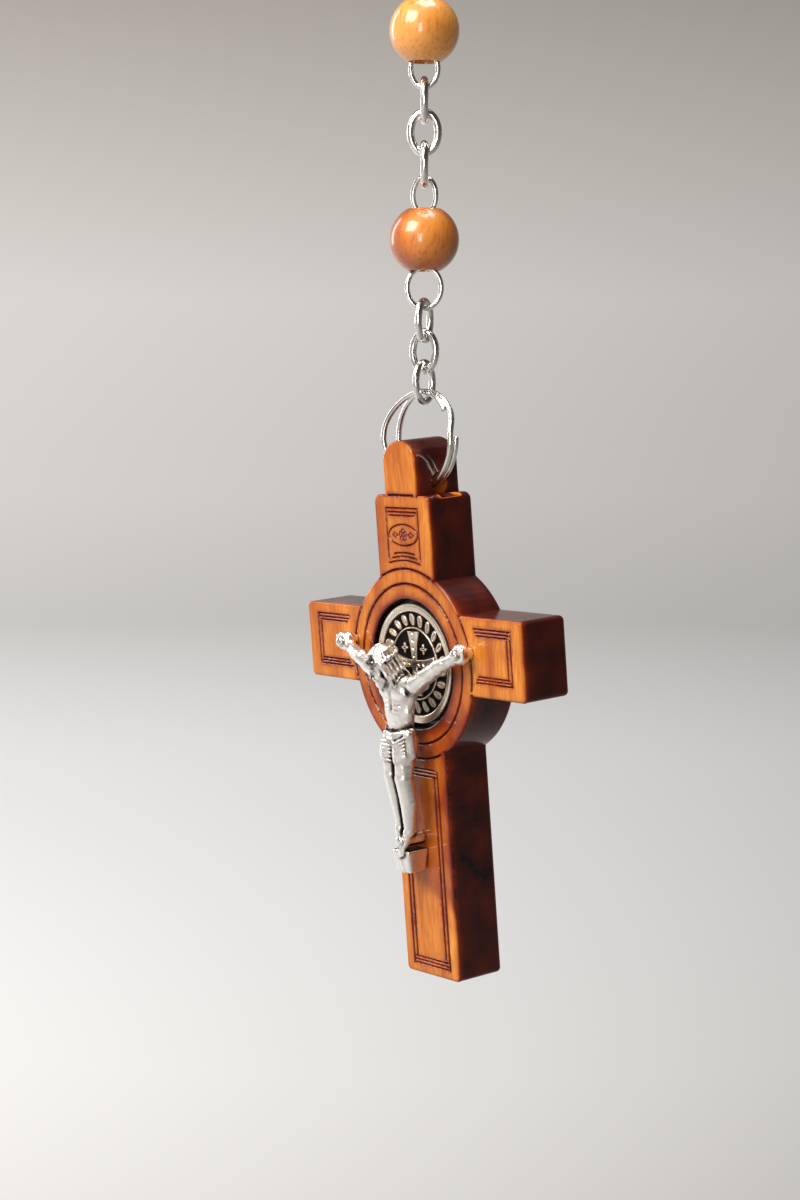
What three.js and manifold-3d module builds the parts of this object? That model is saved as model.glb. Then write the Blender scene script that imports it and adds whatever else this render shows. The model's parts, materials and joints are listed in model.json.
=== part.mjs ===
// A rosary's hanging end: three pieces of wire chain, two olive-wood beads on eye pins,
// a two-turn split ring and an olive-wood cross with a medal and a cast corpus.
// Millimetres, +Z up. The cross's carved face looks along -Y and its width runs along X.
// The origin is the centre of the wire at the top of the top link, which the rosary hangs from.

import * as THREE from 'three';
import { mergeVertices } from 'three/addons/utils/BufferGeometryUtils.js';
import Module from 'manifold-3d';

const wasm = await Module();
wasm.setup();

// ---------------------------------------------------------------- clearances

const wire_gap = 0.08;
const coil_gap = 0.06;
const fixed_gap = 0.05;
const eye_gap = 0.05;
const pin_play = 0.17;
const ring_play = 0.6;
const hole_play = 0.08;
const medal_play = 0.6;

// ---------------------------------------------------------------- driving sizes of the strand

const bead_diameter = 8.0;
const pin_wire = 0.65;
const cup_radius = 1.85;

// An eye's height is how far its wire stands off the bead, and sunk is how far its other side
// lies inside the cup at the bead's end.
const upper_eye = { height: 3.1, width: 3.5, sunk: 1.1, yaw: 28 };
const lower_eye_1 = { height: 3.85, width: 4.5, sunk: 0.9, yaw: 53 };
const lower_eye_2 = { height: 2.45, width: 3.7, sunk: 1.85, yaw: 53 };

const link_length = 5.6;
const link_width = 4.1;
const link_wire = 0.95;
const low_link_length = 5.4;
const low_link_wire = 0.9;

const ring_diameter = 11.6;
const ring_wire = 0.72;
const ring_seat = 0.4;
const ring_splay = 1.4;
const ring_splay_from = 102;
const ring_splay_tail = 1.37;
const ring_cut_angle = 20;
const ring_cut_half = 18;

// How far each wire oval's flat side is turned round from X, in degrees.
const long_chain_yaws = [-37, 53, -37];
const low_chain_yaws = [-64, 23, 104];

// ---------------------------------------------------------------- driving sizes of the cross

const cross_height = 63.0;
const arm_span = 40.8;
const cross_depth = 6.5;
const cross_lean = 4.9;
const lug_width = 6.1;
const lug_height = 6.3;
const lug_round = 2.6;
const neck_width = 10.4;
const shaft_width = 10.0;
const arm_top = -13.4;
const arm_bottom = -22.5;
const disc_height = -19.6;
const disc_border = 3.6;
const hole_height = 1.2;
const hole_back = 0.3;
const corner_radius = 0.6;
const shoulder_radius = 0.9;
const edge_round = 0.25;

const groove_depth = 0.25;
const groove_width = 0.28;
const ring_groove_border = 1.75;
const panel_gap = 1.2;
const panel_border = 1.6;
const panel_end = 2.0;
const double_line = 0.8;

const medal_radius = 7.0;
const medal_thickness = 1.2;
const medal_sink = 0.3;
const medal_relief = 0.35;
const medal_edge = 0.2;
const medal_rim = 0.7;
const medal_ring_radius = 4.2;
const medal_ring_width = 0.4;
const medal_cross_span = 7.5;
const medal_cross_width = 1.1;

const hand_span = 21.9;
const hand_height = -17.5;
const figure_height = 24.4;
const nail_radius = 0.36;
const nail_head = 0.62;
const nail_grip = 2.2;
const hand_nail_reach = 2.2;
const foot_nail_reach = 3.2;

// ---------------------------------------------------------------- sizes that follow from them

const bead_radius = bead_diameter / 2;
const cup_depth = Math.max(upper_eye.sunk, lower_eye_1.sunk, lower_eye_2.sunk) + pin_wire / 2 + eye_gap;
const half_pair = (ring_wire + coil_gap) / 2;
const low_link_width = 2 * (ring_wire + low_link_wire) + coil_gap + ring_play;
const ring_radius = (ring_diameter - ring_wire) / 2;

// The ring curves upwards as it crosses the lug, so the hole clears its rise as well as its wire.
const ring_rise = ring_radius - Math.sqrt(ring_radius ** 2 - (lug_width / 2) ** 2);
const ring_splay_to = 270 - THREE.MathUtils.radToDeg(Math.asin((lug_width / 2 - ring_splay_tail) / ring_radius));
const hole_radius = Math.hypot((ring_rise + ring_wire) / 2, half_pair + ring_wire / 2) + hole_play;

const pocket_radius = medal_radius + medal_play;
const pocket_depth = medal_sink + medal_thickness + fixed_gap;
const groove_radius = pocket_radius + ring_groove_border;
const disc_radius = pocket_radius + disc_border;
const shaft_foot = lug_height - cross_height;
const front = -cross_depth / 2;
const nail_bore = nail_radius + fixed_gap;

// ---------------------------------------------------------------- finishes

const silver = { color: 0xd9d6cf, roughness: 0.22, metalness: 1.0 };
const cast_silver = { color: 0xcfccc6, roughness: 0.34, metalness: 1.0 };
const antique_silver = { color: 0xa9a498, roughness: 0.4, metalness: 1.0 };
const bead_wood = { color: 0xc27b3a, roughness: 0.3, metalness: 0.0 };
const cross_wood = { color: 0xa5602a, roughness: 0.32, metalness: 0.0 };

// ---------------------------------------------------------------- solids

const toSolid = (geometry) => {
  const bare = geometry.index ? geometry.toNonIndexed() : geometry.clone();
  bare.deleteAttribute('normal');
  bare.deleteAttribute('uv');
  const merged = mergeVertices(bare, 1e-5);
  const mesh = new wasm.Mesh({
    numProp: 3,
    vertProperties: new Float32Array(merged.attributes.position.array),
    triVerts: new Uint32Array(merged.index.array),
  });
  mesh.merge();
  return new wasm.Manifold(mesh);
};

const toGeometry = (solid) => {
  const mesh = solid.getMesh();
  const geometry = new THREE.BufferGeometry();
  geometry.setAttribute('position', new THREE.BufferAttribute(new Float32Array(mesh.vertProperties), 3));
  geometry.setIndex(new THREE.BufferAttribute(new Uint32Array(mesh.triVerts), 1));
  geometry.computeVertexNormals();
  return geometry;
};

const joined = (geometries) => geometries.map(toSolid).reduce((sum, next) => sum.add(next));

const group = new THREE.Group();
group.name = 'rosary';

const place = (name, geometry, finish) => {
  const mesh = new THREE.Mesh(geometry, new THREE.MeshStandardMaterial(finish));
  mesh.name = name;
  group.add(mesh);
};

// ---------------------------------------------------------------- wire shapes

// An oval of wire in the plane of Z and the direction `yaw` degrees round from X.
const ovalWire = (height, width, wire, centre_z, yaw) => {
  const points = [];
  const count = 16;
  for (let i = 0; i < count; i += 1) {
    const angle = (2 * Math.PI * i) / count;
    points.push(new THREE.Vector3(Math.cos(angle) * width / 2, 0, Math.sin(angle) * height / 2));
  }
  const path = new THREE.CatmullRomCurve3(points, true);
  const geometry = new THREE.TubeGeometry(path, 20, wire / 2, 8, true);
  geometry.rotateZ(THREE.MathUtils.degToRad(yaw));
  geometry.translate(0, 0, centre_z);
  return geometry;
};

const hungBelow = (bottom_z, wire_above, wire) => bottom_z + (wire_above + wire) / 2 + wire_gap;

// Links hung one below the other. Returns the height of the last link's bottom wire.
const chainOf = (prefix, link, bottom_z, wire_above, yaws) => {
  let z = bottom_z;
  let above = wire_above;
  yaws.forEach((yaw, i) => {
    const top_z = above === 0 ? 0 : hungBelow(z, above, link.wire);
    const height = link.length - link.wire;
    const oval = ovalWire(height, link.width - link.wire, link.wire, top_z - height / 2, yaw);
    place(`${prefix}_${i + 1}`, oval, silver);
    z = top_z - height;
    above = link.wire;
  });
  return z;
};

// The bead's outline from its lower rim round to its upper rim, then in through both cups.
const beadProfile = () => {
  const bore = pin_wire / 2 + pin_play;
  const rim_z = Math.sqrt(bead_radius ** 2 - cup_radius ** 2);
  const floor_z = bead_radius - cup_depth;
  const start = Math.asin(cup_radius / bead_radius);
  const profile = [];
  for (let i = 0; i <= 12; i += 1) {
    const angle = start + ((Math.PI - 2 * start) * i) / 12;
    profile.push([Math.sin(angle) * bead_radius, -Math.cos(angle) * bead_radius]);
  }
  const cup = [];
  for (let i = 1; i <= 5; i += 1) {
    const angle = (Math.PI / 2) * (i / 6);
    cup.push([Math.cos(angle) * cup_radius, rim_z - Math.sin(angle) * (rim_z - floor_z)]);
  }
  cup.push([bore, floor_z]);
  const under = cup.map(([r, z]) => [r, -z]).reverse();
  return [...profile, ...cup, ...under, profile[0]].map(([r, z]) => new THREE.Vector2(r, z));
};

// A bead on its eye pin: a straight wire through the bead, bent into an eye at each end. The eyes
// nest in a round cup at each end of the bore. Returns the height of the lower eye's bottom wire.
const beadOnPin = (number, bottom_z, lower_eye) => {
  const top_z = hungBelow(bottom_z, link_wire, pin_wire);
  const centre_z = top_z - bead_radius - upper_eye.height;
  const upper_start = bead_radius - upper_eye.sunk;
  const lower_start = bead_radius - lower_eye.sunk;
  const shank = new THREE.CylinderGeometry(pin_wire / 2, pin_wire / 2, upper_start + lower_start, 8);
  shank.rotateX(Math.PI / 2);
  shank.translate(0, 0, (upper_start - lower_start) / 2);
  const eyeOval = (side, eye) => {
    const height = eye.height + eye.sunk;
    const middle = side * (bead_radius - eye.sunk + height / 2);
    return ovalWire(height, eye.width - pin_wire, pin_wire, middle, eye.yaw);
  };
  const pin = toGeometry(joined([shank, eyeOval(1, upper_eye), eyeOval(-1, lower_eye)]));
  pin.translate(0, 0, centre_z);
  place(`eye_pin_${number}`, pin, silver);

  const bead = new THREE.LatheGeometry(beadProfile(), 24);
  bead.rotateX(Math.PI / 2);
  bead.translate(0, 0, centre_z);
  place(`bead_${number}`, bead, bead_wood);
  return centre_z - bead_radius - lower_eye.height;
};

// ---------------------------------------------------------------- the strand, from the top down

const long_link = { length: link_length, width: link_width, wire: link_wire };
const low_link = { length: low_link_length, width: low_link_width, wire: low_link_wire };

const top_end = chainOf('top_link', long_link, 0, 0, long_chain_yaws);
const pin_2_end = beadOnPin(2, top_end, lower_eye_2);
const mid_end = chainOf('mid_link', long_link, pin_2_end, pin_wire, long_chain_yaws);
const pin_1_end = beadOnPin(1, mid_end, lower_eye_1);
const low_end = chainOf('low_link', low_link, pin_1_end, pin_wire, low_chain_yaws);

// ---------------------------------------------------------------- the split ring

const ring_top = low_end + (low_link_wire + ring_wire) / 2 + ring_seat;
const ring_centre = ring_top - ring_radius;

const smooth = (value) => {
  const t = Math.min(Math.max(value, 0), 1);
  return t * t * (3 - 2 * t);
};

// Two turns lie side by side. The wire steps from the front turn to the back one at the cut,
// and opposite the cut the front turn bows forward, where a nail has prised it open.
const ringPath = () => {
  const points = [];
  const sweep = 720 - 2 * ring_cut_half;
  const steps = 60;
  for (let i = 0; i <= steps; i += 1) {
    const turned = ring_cut_half + (sweep * i) / steps;
    const angle = THREE.MathUtils.degToRad(ring_cut_angle + turned);
    const step = smooth((turned - 360 + ring_cut_half) / (2 * ring_cut_half));
    const bow = (ring_cut_angle + turned - ring_splay_from) / (ring_splay_to - ring_splay_from);
    const sprung = bow > 0 && bow < 1 ? ring_splay * Math.sin(Math.PI * bow) ** 2 : 0;
    const y = half_pair * (2 * step - 1) - sprung;
    points.push(new THREE.Vector3(Math.cos(angle) * ring_radius, y, Math.sin(angle) * ring_radius));
  }
  return new THREE.CatmullRomCurve3(points, false);
};

// A round wire section swept along an open path, with flat ends.
const sweptWire = (path, steps, wire) => {
  const section = new THREE.Shape();
  for (let i = 0; i < 8; i += 1) {
    const angle = (Math.PI * i) / 4;
    const x = Math.cos(angle) * wire / 2;
    const y = Math.sin(angle) * wire / 2;
    if (i === 0) {
      section.moveTo(x, y);
    } else {
      section.lineTo(x, y);
    }
  }
  section.closePath();
  return new THREE.ExtrudeGeometry(section, { steps, extrudePath: path, bevelEnabled: false });
};

const ring = toGeometry(toSolid(sweptWire(ringPath(), 60, ring_wire)));
ring.translate(0, 0, ring_centre);
place('split_ring', ring, silver);

// ---------------------------------------------------------------- the cross's outline

// The cross is built upright with its neck's top at height 0 and its middle plane at y = 0,
// then hung by its hole and leaned back, because the corpus and medal weigh on its front.

const onDisc = (offset) => Math.sqrt(disc_radius ** 2 - offset ** 2);

// Points of an arc from one angle to another, in degrees, ends included.
const arcPoints = (cx, cz, rx, rz, from, to, steps) => {
  const points = [];
  for (let i = 0; i <= steps; i += 1) {
    const angle = THREE.MathUtils.degToRad(from + ((to - from) * i) / steps);
    points.push([cx + Math.cos(angle) * rx, cz + Math.sin(angle) * rz]);
  }
  return points;
};

const discArc = (x0, z0, x1, z1) => {
  const from = THREE.MathUtils.radToDeg(Math.atan2(z0 - disc_height, x0));
  const to = THREE.MathUtils.radToDeg(Math.atan2(z1 - disc_height, x1));
  return arcPoints(0, disc_height, disc_radius, disc_radius, from, to, 6);
};

const crossOutline = () => {
  const lug = lug_width / 2;
  const neck = neck_width / 2;
  const shaft = shaft_width / 2;
  const arm = arm_span / 2;
  const corner = corner_radius;
  const shoulder = shoulder_radius;
  const right = [
    ...arcPoints(0, lug_height - lug_round, lug, lug_round, 90, 0, 6),
    [lug, 0],
    ...arcPoints(neck - shoulder, -shoulder, shoulder, shoulder, 90, 0, 3),
    ...discArc(neck, disc_height + onDisc(neck), onDisc(arm_top - disc_height), arm_top),
    ...arcPoints(arm - corner, arm_top - corner, corner, corner, 90, 0, 3),
    ...arcPoints(arm - corner, arm_bottom + corner, corner, corner, 0, -90, 3),
    ...discArc(onDisc(arm_bottom - disc_height), arm_bottom, shaft, disc_height - onDisc(shaft)),
    ...arcPoints(shaft - corner, shaft_foot + corner, corner, corner, 0, -90, 3),
  ];
  const left = right.slice(1).reverse().map(([x, z]) => [-x, z]);
  return new THREE.Shape([...right, ...left].map(([x, z]) => new THREE.Vector2(x, z)));
};

// Extrudes a shape drawn in X and Z towards the back, starting at y = from.
const extrudeBack = (shape, from, depth, bevel) => {
  const geometry = new THREE.ExtrudeGeometry(shape, {
    depth: depth - 2 * bevel,
    bevelEnabled: bevel > 0,
    bevelThickness: bevel,
    bevelSize: bevel,
    bevelOffset: -bevel,
    bevelSegments: 1,
    curveSegments: 12,
  });
  geometry.rotateX(Math.PI / 2);
  geometry.translate(0, from + depth - bevel, 0);
  return geometry;
};

// ---------------------------------------------------------------- the cross's grooves

// A closed groove between two outlines, cut into the front face.
const groove = (outer, inner) => {
  const shape = new THREE.Shape(outer);
  shape.holes.push(new THREE.Path(inner));
  return extrudeBack(shape, front - groove_depth, 2 * groove_depth, 0);
};

const box = (x0, x1, z0, z1) => {
  const corners = [[x0, z0], [x1, z0], [x1, z1], [x0, z1]];
  return corners.map(([x, z]) => new THREE.Vector2(x, z));
};

const boxGroove = (x0, x1, z0, z1) => {
  const w = groove_width;
  return groove(box(x0, x1, z0, z1), box(x0 + w, x1 - w, z0 + w, z1 - w));
};

const oval = (rx, rz, cz, count) => {
  const points = arcPoints(0, cz, rx, rz, 0, 360, count).slice(0, count);
  return points.map(([x, z]) => new THREE.Vector2(x, z));
};

const ovalGroove = (rx, rz, cz, count) => {
  const w = groove_width;
  return groove(oval(rx, rz, cz, count), oval(rx - w, rz - w, cz, count));
};

const grooves = () => {
  const disc_top = disc_height + disc_radius;
  const neck_half = neck_width / 2 - panel_border;
  const neck_bottom = disc_top + double_line;
  const shaft_half = shaft_width / 2 - panel_border;
  const shaft_top = disc_height - disc_radius - panel_gap;
  const shaft_bottom = shaft_foot + panel_gap;
  const arm_inner = disc_radius + panel_gap;
  const arm_outer = arm_span / 2 - panel_end;
  const inner = double_line;
  const list = [
    ovalGroove(disc_radius, disc_radius, disc_height, 40),
    ovalGroove(groove_radius, groove_radius, disc_height, 40),
    boxGroove(-neck_half, neck_half, neck_bottom, -panel_border),
    ovalGroove(neck_width / 4, neck_width / 8, (neck_bottom - panel_border) / 2, 20),
    boxGroove(-shaft_half, shaft_half, shaft_bottom, shaft_top),
    boxGroove(-shaft_half + inner, shaft_half - inner, shaft_bottom + inner, shaft_top - inner),
  ];
  for (const side of [-1, 1]) {
    const [x0, x1] = side < 0 ? [-arm_outer, -arm_inner] : [arm_inner, arm_outer];
    list.push(boxGroove(x0, x1, arm_bottom + panel_border, arm_top - panel_gap));
  }
  return list;
};

// ---------------------------------------------------------------- the figure's own proportions

// The figure is drawn 21.9 mm between its hands and 24.4 mm from hands to feet, then fitted to
// the sizes wanted. A point is [across, proud of the wood, below the hands].
const drawn_span = 21.9;
const drawn_height = 24.4;

const at = ([x, proud, below]) => new THREE.Vector3(
  (x * hand_span) / drawn_span,
  front - proud,
  hand_height - (below * figure_height) / drawn_height,
);

const nails = [
  { name: 'hand_nail_left', spot: [-drawn_span / 2, 0, 0], reach: hand_nail_reach },
  { name: 'hand_nail_right', spot: [drawn_span / 2, 0, 0], reach: hand_nail_reach },
  { name: 'foot_nail', spot: [-0.35, 0, 22.5], reach: foot_nail_reach },
];

// A rod square to the front face at a spot on the figure, from a depth in the wood to a height proud.
const rodAt = (spot, radius, deep, proud) => {
  const rod = new THREE.CylinderGeometry(radius, radius, deep + proud, 12);
  const foot = at(spot);
  rod.translate(foot.x, front + (deep - proud) / 2, foot.z);
  return rod;
};

// ---------------------------------------------------------------- the cross and the medal

const crossBody = () => {
  let wood = toSolid(extrudeBack(crossOutline(), front, cross_depth, edge_round));
  const hole = new THREE.CylinderGeometry(hole_radius, hole_radius, lug_width + 2, 20);
  hole.rotateZ(Math.PI / 2);
  hole.translate(0, hole_back, hole_height);
  const pocket = new THREE.CylinderGeometry(pocket_radius, pocket_radius, 2 * pocket_depth, 40);
  pocket.translate(0, front, disc_height);
  const bores = nails.map((nail) => rodAt(nail.spot, nail_bore, nail_grip + fixed_gap, 1));
  for (const cut of [hole, pocket, ...grooves(), ...bores]) {
    wood = wood.subtract(toSolid(cut));
  }
  return toGeometry(wood);
};

// The medal: a struck disc with a raised rim and an inner ring, and a cross on its face.
const medalBody = () => {
  const r = medal_radius;
  const e = medal_edge;
  const top = medal_thickness;
  const face = medal_thickness - medal_relief;
  const rim = medal_radius - medal_rim;
  const outer = medal_ring_radius + medal_ring_width / 2;
  const inner = medal_ring_radius - medal_ring_width / 2;
  const profile = [
    [0, 0], [r - e, 0], [r, e], [r, top - e], [r - e, top], [rim, top], [rim - e, face],
    [outer + e / 2, face], [outer, top - e / 2], [inner, top - e / 2], [inner - e / 2, face], [0, face],
  ].map(([radius, height]) => new THREE.Vector2(radius, height));
  const disc = new THREE.LatheGeometry(profile, 32);
  const bar = new THREE.BoxGeometry(medal_cross_span, medal_relief, medal_cross_width);
  bar.translate(0, face, 0);
  const post = new THREE.BoxGeometry(medal_cross_width, medal_relief, medal_cross_span);
  post.translate(0, face, 0);
  const medal = toGeometry(joined([disc, bar, post]));
  medal.rotateX(Math.PI);
  medal.translate(0, front + medal_sink + medal_thickness, disc_height);
  return medal;
};

// ---------------------------------------------------------------- the corpus and its nails

const ball = (centre, rx, ry, rz) => {
  const shape = new THREE.SphereGeometry(1, 10, 7);
  shape.scale(rx, ry, rz);
  const c = at(centre);
  shape.translate(c.x, c.y, c.z);
  return shape;
};

// A tapered limb with a rounded end at each joint.
const limb = (from, to, radius_from, radius_to) => {
  const a = at(from);
  const b = at(to);
  const length = a.distanceTo(b);
  const profile = [];
  for (let i = 0; i <= 3; i += 1) {
    const angle = (Math.PI / 2) * (i / 3);
    profile.push(new THREE.Vector2(Math.sin(angle) * radius_from, -Math.cos(angle) * radius_from));
  }
  for (let i = 3; i >= 0; i -= 1) {
    const angle = (Math.PI / 2) * (i / 3);
    profile.push(new THREE.Vector2(Math.sin(angle) * radius_to, length + Math.cos(angle) * radius_to));
  }
  const shape = new THREE.LatheGeometry(profile, 8);
  const along = b.clone().sub(a).normalize();
  const turn = new THREE.Quaternion().setFromUnitVectors(new THREE.Vector3(0, 1, 0), along);
  shape.applyQuaternion(turn);
  shape.translate(a.x, a.y, a.z);
  return shape;
};

const corpusBody = () => {
  const parts = [
    // Head and hair, neck, shoulders, chest, belly, hips, the cloth's hanging end.
    ball([-0.4, 3.3, 1.7], 1.55, 1.6, 2.1),
    ball([-0.5, 3.0, 0.7], 1.75, 1.7, 1.7),
    limb([-0.2, 2.6, 2.9], [0, 2.2, 4.3], 0.8, 1.0),
    limb([-2.5, 2.3, 3.9], [2.5, 2.3, 4.4], 1.15, 1.15),
    ball([-0.2, 2.4, 5.7], 2.9, 1.5, 2.4),
    ball([0, 2.3, 8.5], 2.15, 1.35, 2.6),
    ball([0, 2.4, 11.1], 2.9, 1.6, 2.4),
    limb([2.6, 2.9, 9.5], [2.9, 2.5, 12.9], 0.75, 0.9),
    // Legs, crossed feet and the block below them.
    limb([-1.5, 2.5, 11.4], [-1.6, 3.0, 15.5], 1.35, 1.0),
    limb([-1.6, 3.0, 15.5], [-0.9, 2.0, 20.9], 1.0, 0.65),
    limb([1.4, 2.5, 11.4], [1.0, 3.0, 15.5], 1.35, 1.0),
    limb([1.0, 3.0, 15.5], [0.5, 2.0, 20.9], 1.0, 0.65),
    limb([-0.8, 2.1, 21.1], [-0.6, 2.3, 23.7], 0.8, 0.8),
    limb([0.4, 2.1, 21.1], [0.0, 2.3, 23.5], 0.8, 0.8),
    limb([-1.2, 1.7, 24.3], [0.5, 1.7, 24.5], 1.1, 1.1),
  ];
  // Shoulder, elbow, wrist and hand on each side.
  for (const side of [-1, 1]) {
    const elbow = [side * 7.2, 1.8, 1.7];
    parts.push(limb([side * 2.9, 2.3, 3.8], elbow, 0.95, 0.75));
    parts.push(limb(elbow, [side * 10.2, 1.4, 0.4], 0.72, 0.6));
    parts.push(ball([side * drawn_span / 2, 1.35, 0], 1.3, 0.75, 1.25));
  }
  // Studs behind the hands and feet, which rest on the wood.
  for (const nail of nails) {
    parts.push(rodAt(nail.spot, 0.85, -fixed_gap, 1.5));
  }
  let body = joined(parts);
  for (const nail of nails) {
    body = body.subtract(toSolid(rodAt(nail.spot, nail_bore, 1, 8)));
  }
  return toGeometry(body);
};

// A nail drives straight back into the wood. Its head stands just proud of the casting.
const nailBody = ({ spot, reach }) => {
  const length = nail_grip + reach;
  const profile = [
    [0, 0], [nail_radius, 0], [nail_radius, length], [nail_head, length], [nail_head * 0.8, length + 0.3],
    [0, length + 0.4],
  ].map(([radius, height]) => new THREE.Vector2(radius, height));
  const shape = new THREE.LatheGeometry(profile, 12);
  shape.rotateX(Math.PI);
  shape.translate(at(spot).x, front + nail_grip, at(spot).z);
  return shape;
};

// ---------------------------------------------------------------- hang the cross on the ring

const hole_z = ring_centre - ring_radius + ring_rise / 2;

const hangCross = (geometry) => {
  geometry.translate(0, -hole_back, -hole_height);
  geometry.rotateX(THREE.MathUtils.degToRad(cross_lean));
  geometry.translate(0, 0, hole_z);
  return geometry;
};

place('cross_body', hangCross(crossBody()), cross_wood);
place('medal', hangCross(medalBody()), antique_silver);
place('corpus', hangCross(corpusBody()), cast_silver);
for (const nail of nails) {
  place(nail.name, hangCross(nailBody(nail)), silver);
}

export default group;
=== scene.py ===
# %% [markdown]
# # The hanging end of an olive-wood rosary
# Two turned beads hang on wire chain, and below them a split ring carries a wooden cross with a
# silver medal and a small cast figure. The moving frame comes from the CAD model. This lesson
# gives every piece its finished shape and its finish.

# %% Load the frame
import math
import bmesh
import bpy
import numpy as np
from mathutils import Matrix, Vector
from mathutils.geometry import delaunay_2d_cdt
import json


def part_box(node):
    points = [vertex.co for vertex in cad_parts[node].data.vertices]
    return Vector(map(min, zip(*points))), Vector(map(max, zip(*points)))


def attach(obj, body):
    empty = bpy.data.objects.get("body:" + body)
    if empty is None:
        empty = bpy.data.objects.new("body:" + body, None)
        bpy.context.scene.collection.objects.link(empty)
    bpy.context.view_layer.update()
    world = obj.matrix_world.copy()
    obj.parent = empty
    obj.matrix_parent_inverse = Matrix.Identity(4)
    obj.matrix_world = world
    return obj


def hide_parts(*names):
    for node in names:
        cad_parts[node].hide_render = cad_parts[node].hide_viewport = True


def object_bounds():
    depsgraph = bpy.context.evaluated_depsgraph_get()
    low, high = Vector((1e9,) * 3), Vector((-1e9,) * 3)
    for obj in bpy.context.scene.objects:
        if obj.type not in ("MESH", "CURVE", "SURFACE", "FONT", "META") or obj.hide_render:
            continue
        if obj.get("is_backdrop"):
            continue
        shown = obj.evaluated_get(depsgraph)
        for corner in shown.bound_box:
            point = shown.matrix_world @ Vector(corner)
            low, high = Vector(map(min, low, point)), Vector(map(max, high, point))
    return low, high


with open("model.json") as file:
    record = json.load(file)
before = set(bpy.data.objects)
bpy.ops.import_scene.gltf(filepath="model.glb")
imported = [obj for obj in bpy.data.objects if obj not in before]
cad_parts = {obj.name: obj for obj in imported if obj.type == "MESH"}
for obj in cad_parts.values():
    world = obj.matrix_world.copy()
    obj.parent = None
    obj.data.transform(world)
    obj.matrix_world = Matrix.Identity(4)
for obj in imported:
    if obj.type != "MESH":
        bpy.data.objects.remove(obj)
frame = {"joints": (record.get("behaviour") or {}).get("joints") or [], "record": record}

MM = 0.001
random = np.random.default_rng(11)
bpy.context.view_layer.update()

# %% [markdown]
# ## Where things are
# The cross hangs from the hinge at the middle of its hole, and leans back a little because the
# figure weighs on its front. Both facts are read from the frame: the hinge gives the hole's height,
# and the flat back's normal gives the lean. The cross is drawn upright, with its neck's top at
# height 0, and one matrix hangs it in place.

# %% Read the hole and the lean
hinges = {joint["name"]: joint for joint in frame["joints"]}
mounts = {mount["name"]: mount for mount in frame["record"]["mounts"]}
back_normal = mounts["cross_back"]["axis"]
lean = math.atan2(back_normal[2], back_normal[1])
hole_z = hinges["cross_swing"]["pos_m"][2] / MM
HOLE_BACK = 0.3
HOLE_HEIGHT = 1.2
hang = (Matrix.Translation((0, 0, hole_z)) @ Matrix.Rotation(lean, 4, "X")
        @ Matrix.Translation((0, -HOLE_BACK, -HOLE_HEIGHT)))
print("lean", round(math.degrees(lean), 2), "degrees, hole at", round(hole_z, 2), "mm")

# %% [markdown]
# ## The camera
# A long lens looks at the cross from the right, about level with its arms, and is tipped down
# by a few degrees. Its turn, tip, distance and height come from a fit to the beads and to the edges
# of the cross.

# %% Camera
CAMERA_TURN = math.radians(52.73)
CAMERA_AIM = math.radians(53.27)
CAMERA_TIP = math.radians(-4.13)
CAMERA_DISTANCE = 295.0
CAMERA_HEIGHT = -61.9
camera = bpy.data.objects.new("camera", bpy.data.cameras.new("camera"))
bpy.context.scene.collection.objects.link(camera)
camera.data.sensor_fit = "VERTICAL"
camera.data.sensor_height = 36.0
camera.data.lens = 76.6
camera.data.clip_start = 0.005
camera.location = Vector((math.sin(CAMERA_TURN) * CAMERA_DISTANCE,
                          -math.cos(CAMERA_TURN) * CAMERA_DISTANCE, CAMERA_HEIGHT)) * MM
ahead = Vector((-math.sin(CAMERA_AIM) * math.cos(CAMERA_TIP),
                math.cos(CAMERA_AIM) * math.cos(CAMERA_TIP), math.sin(CAMERA_TIP)))
camera.rotation_euler = ahead.to_track_quat("-Z", "Y").to_euler()
bpy.context.scene.camera = camera
bpy.context.scene.view_settings.view_transform = "Standard"

# %% [markdown]
# ## Making a mesh piece
# Every piece here is a mesh whose points are worked out in millimetres. One helper turns points
# and faces into an object, smooths it, parents it to the body it rides on, and hides the CAD
# nodes it stands for.

# %% Helpers for pieces


def add_piece(name, points, faces, body, slot, nodes, sharp_degrees=35.0, values=None):
    mesh = bpy.data.meshes.new(name)
    mesh.from_pydata((np.asarray(points, float) * MM).tolist(), [], [list(f) for f in faces])
    for key, numbers in (values or {}).items():
        layer = mesh.attributes.new(key, "FLOAT", "POINT")
        layer.data.foreach_set("value", np.asarray(numbers, np.float32))
    mesh.update()
    mesh.shade_smooth()
    mesh.set_sharp_from_angle(angle=math.radians(sharp_degrees))
    piece = bpy.data.objects.new(name, mesh)
    bpy.context.scene.collection.objects.link(piece)
    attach(piece, body)
    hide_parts(*nodes)
    print(name, len(mesh.vertices), "points")
    return piece


def joined(parts):
    """Several (points, faces) as one."""
    points, faces, start = [], [], 0
    for part_points, part_faces in parts:
        points.append(np.asarray(part_points, float))
        faces += [[i + start for i in face] for face in part_faces]
        start += len(part_points)
    return np.vstack(points), faces


def tube_faces(rings, sides):
    """Four-sided faces between rings of points that follow one another."""
    return [[i * sides + j, i * sides + (j + 1) % sides, (i + 1) * sides + (j + 1) % sides, (i + 1) * sides + j]
            for i in range(rings - 1) for j in range(sides)]


def moved(part, matrix):
    points, faces = part
    turn = np.array(matrix.to_3x3())
    return np.asarray(points) @ turn.T + np.array(matrix.translation), faces


# %% [markdown]
# ## Materials in two small tools
# Colours are written as the sRGB hex values that a paint chart gives, and one function turns
# them into the linear numbers that Blender mixes light with. A second function adds a shader
# node, sets its values and links what feeds it.

# %% Colour and node tools


def linear(colour):
    parts = [int(colour[i:i + 2], 16) / 255 for i in (1, 3, 5)]
    return [c / 12.92 if c <= 0.04045 else ((c + 0.055) / 1.055) ** 2.4 for c in parts] + [1.0]


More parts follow.
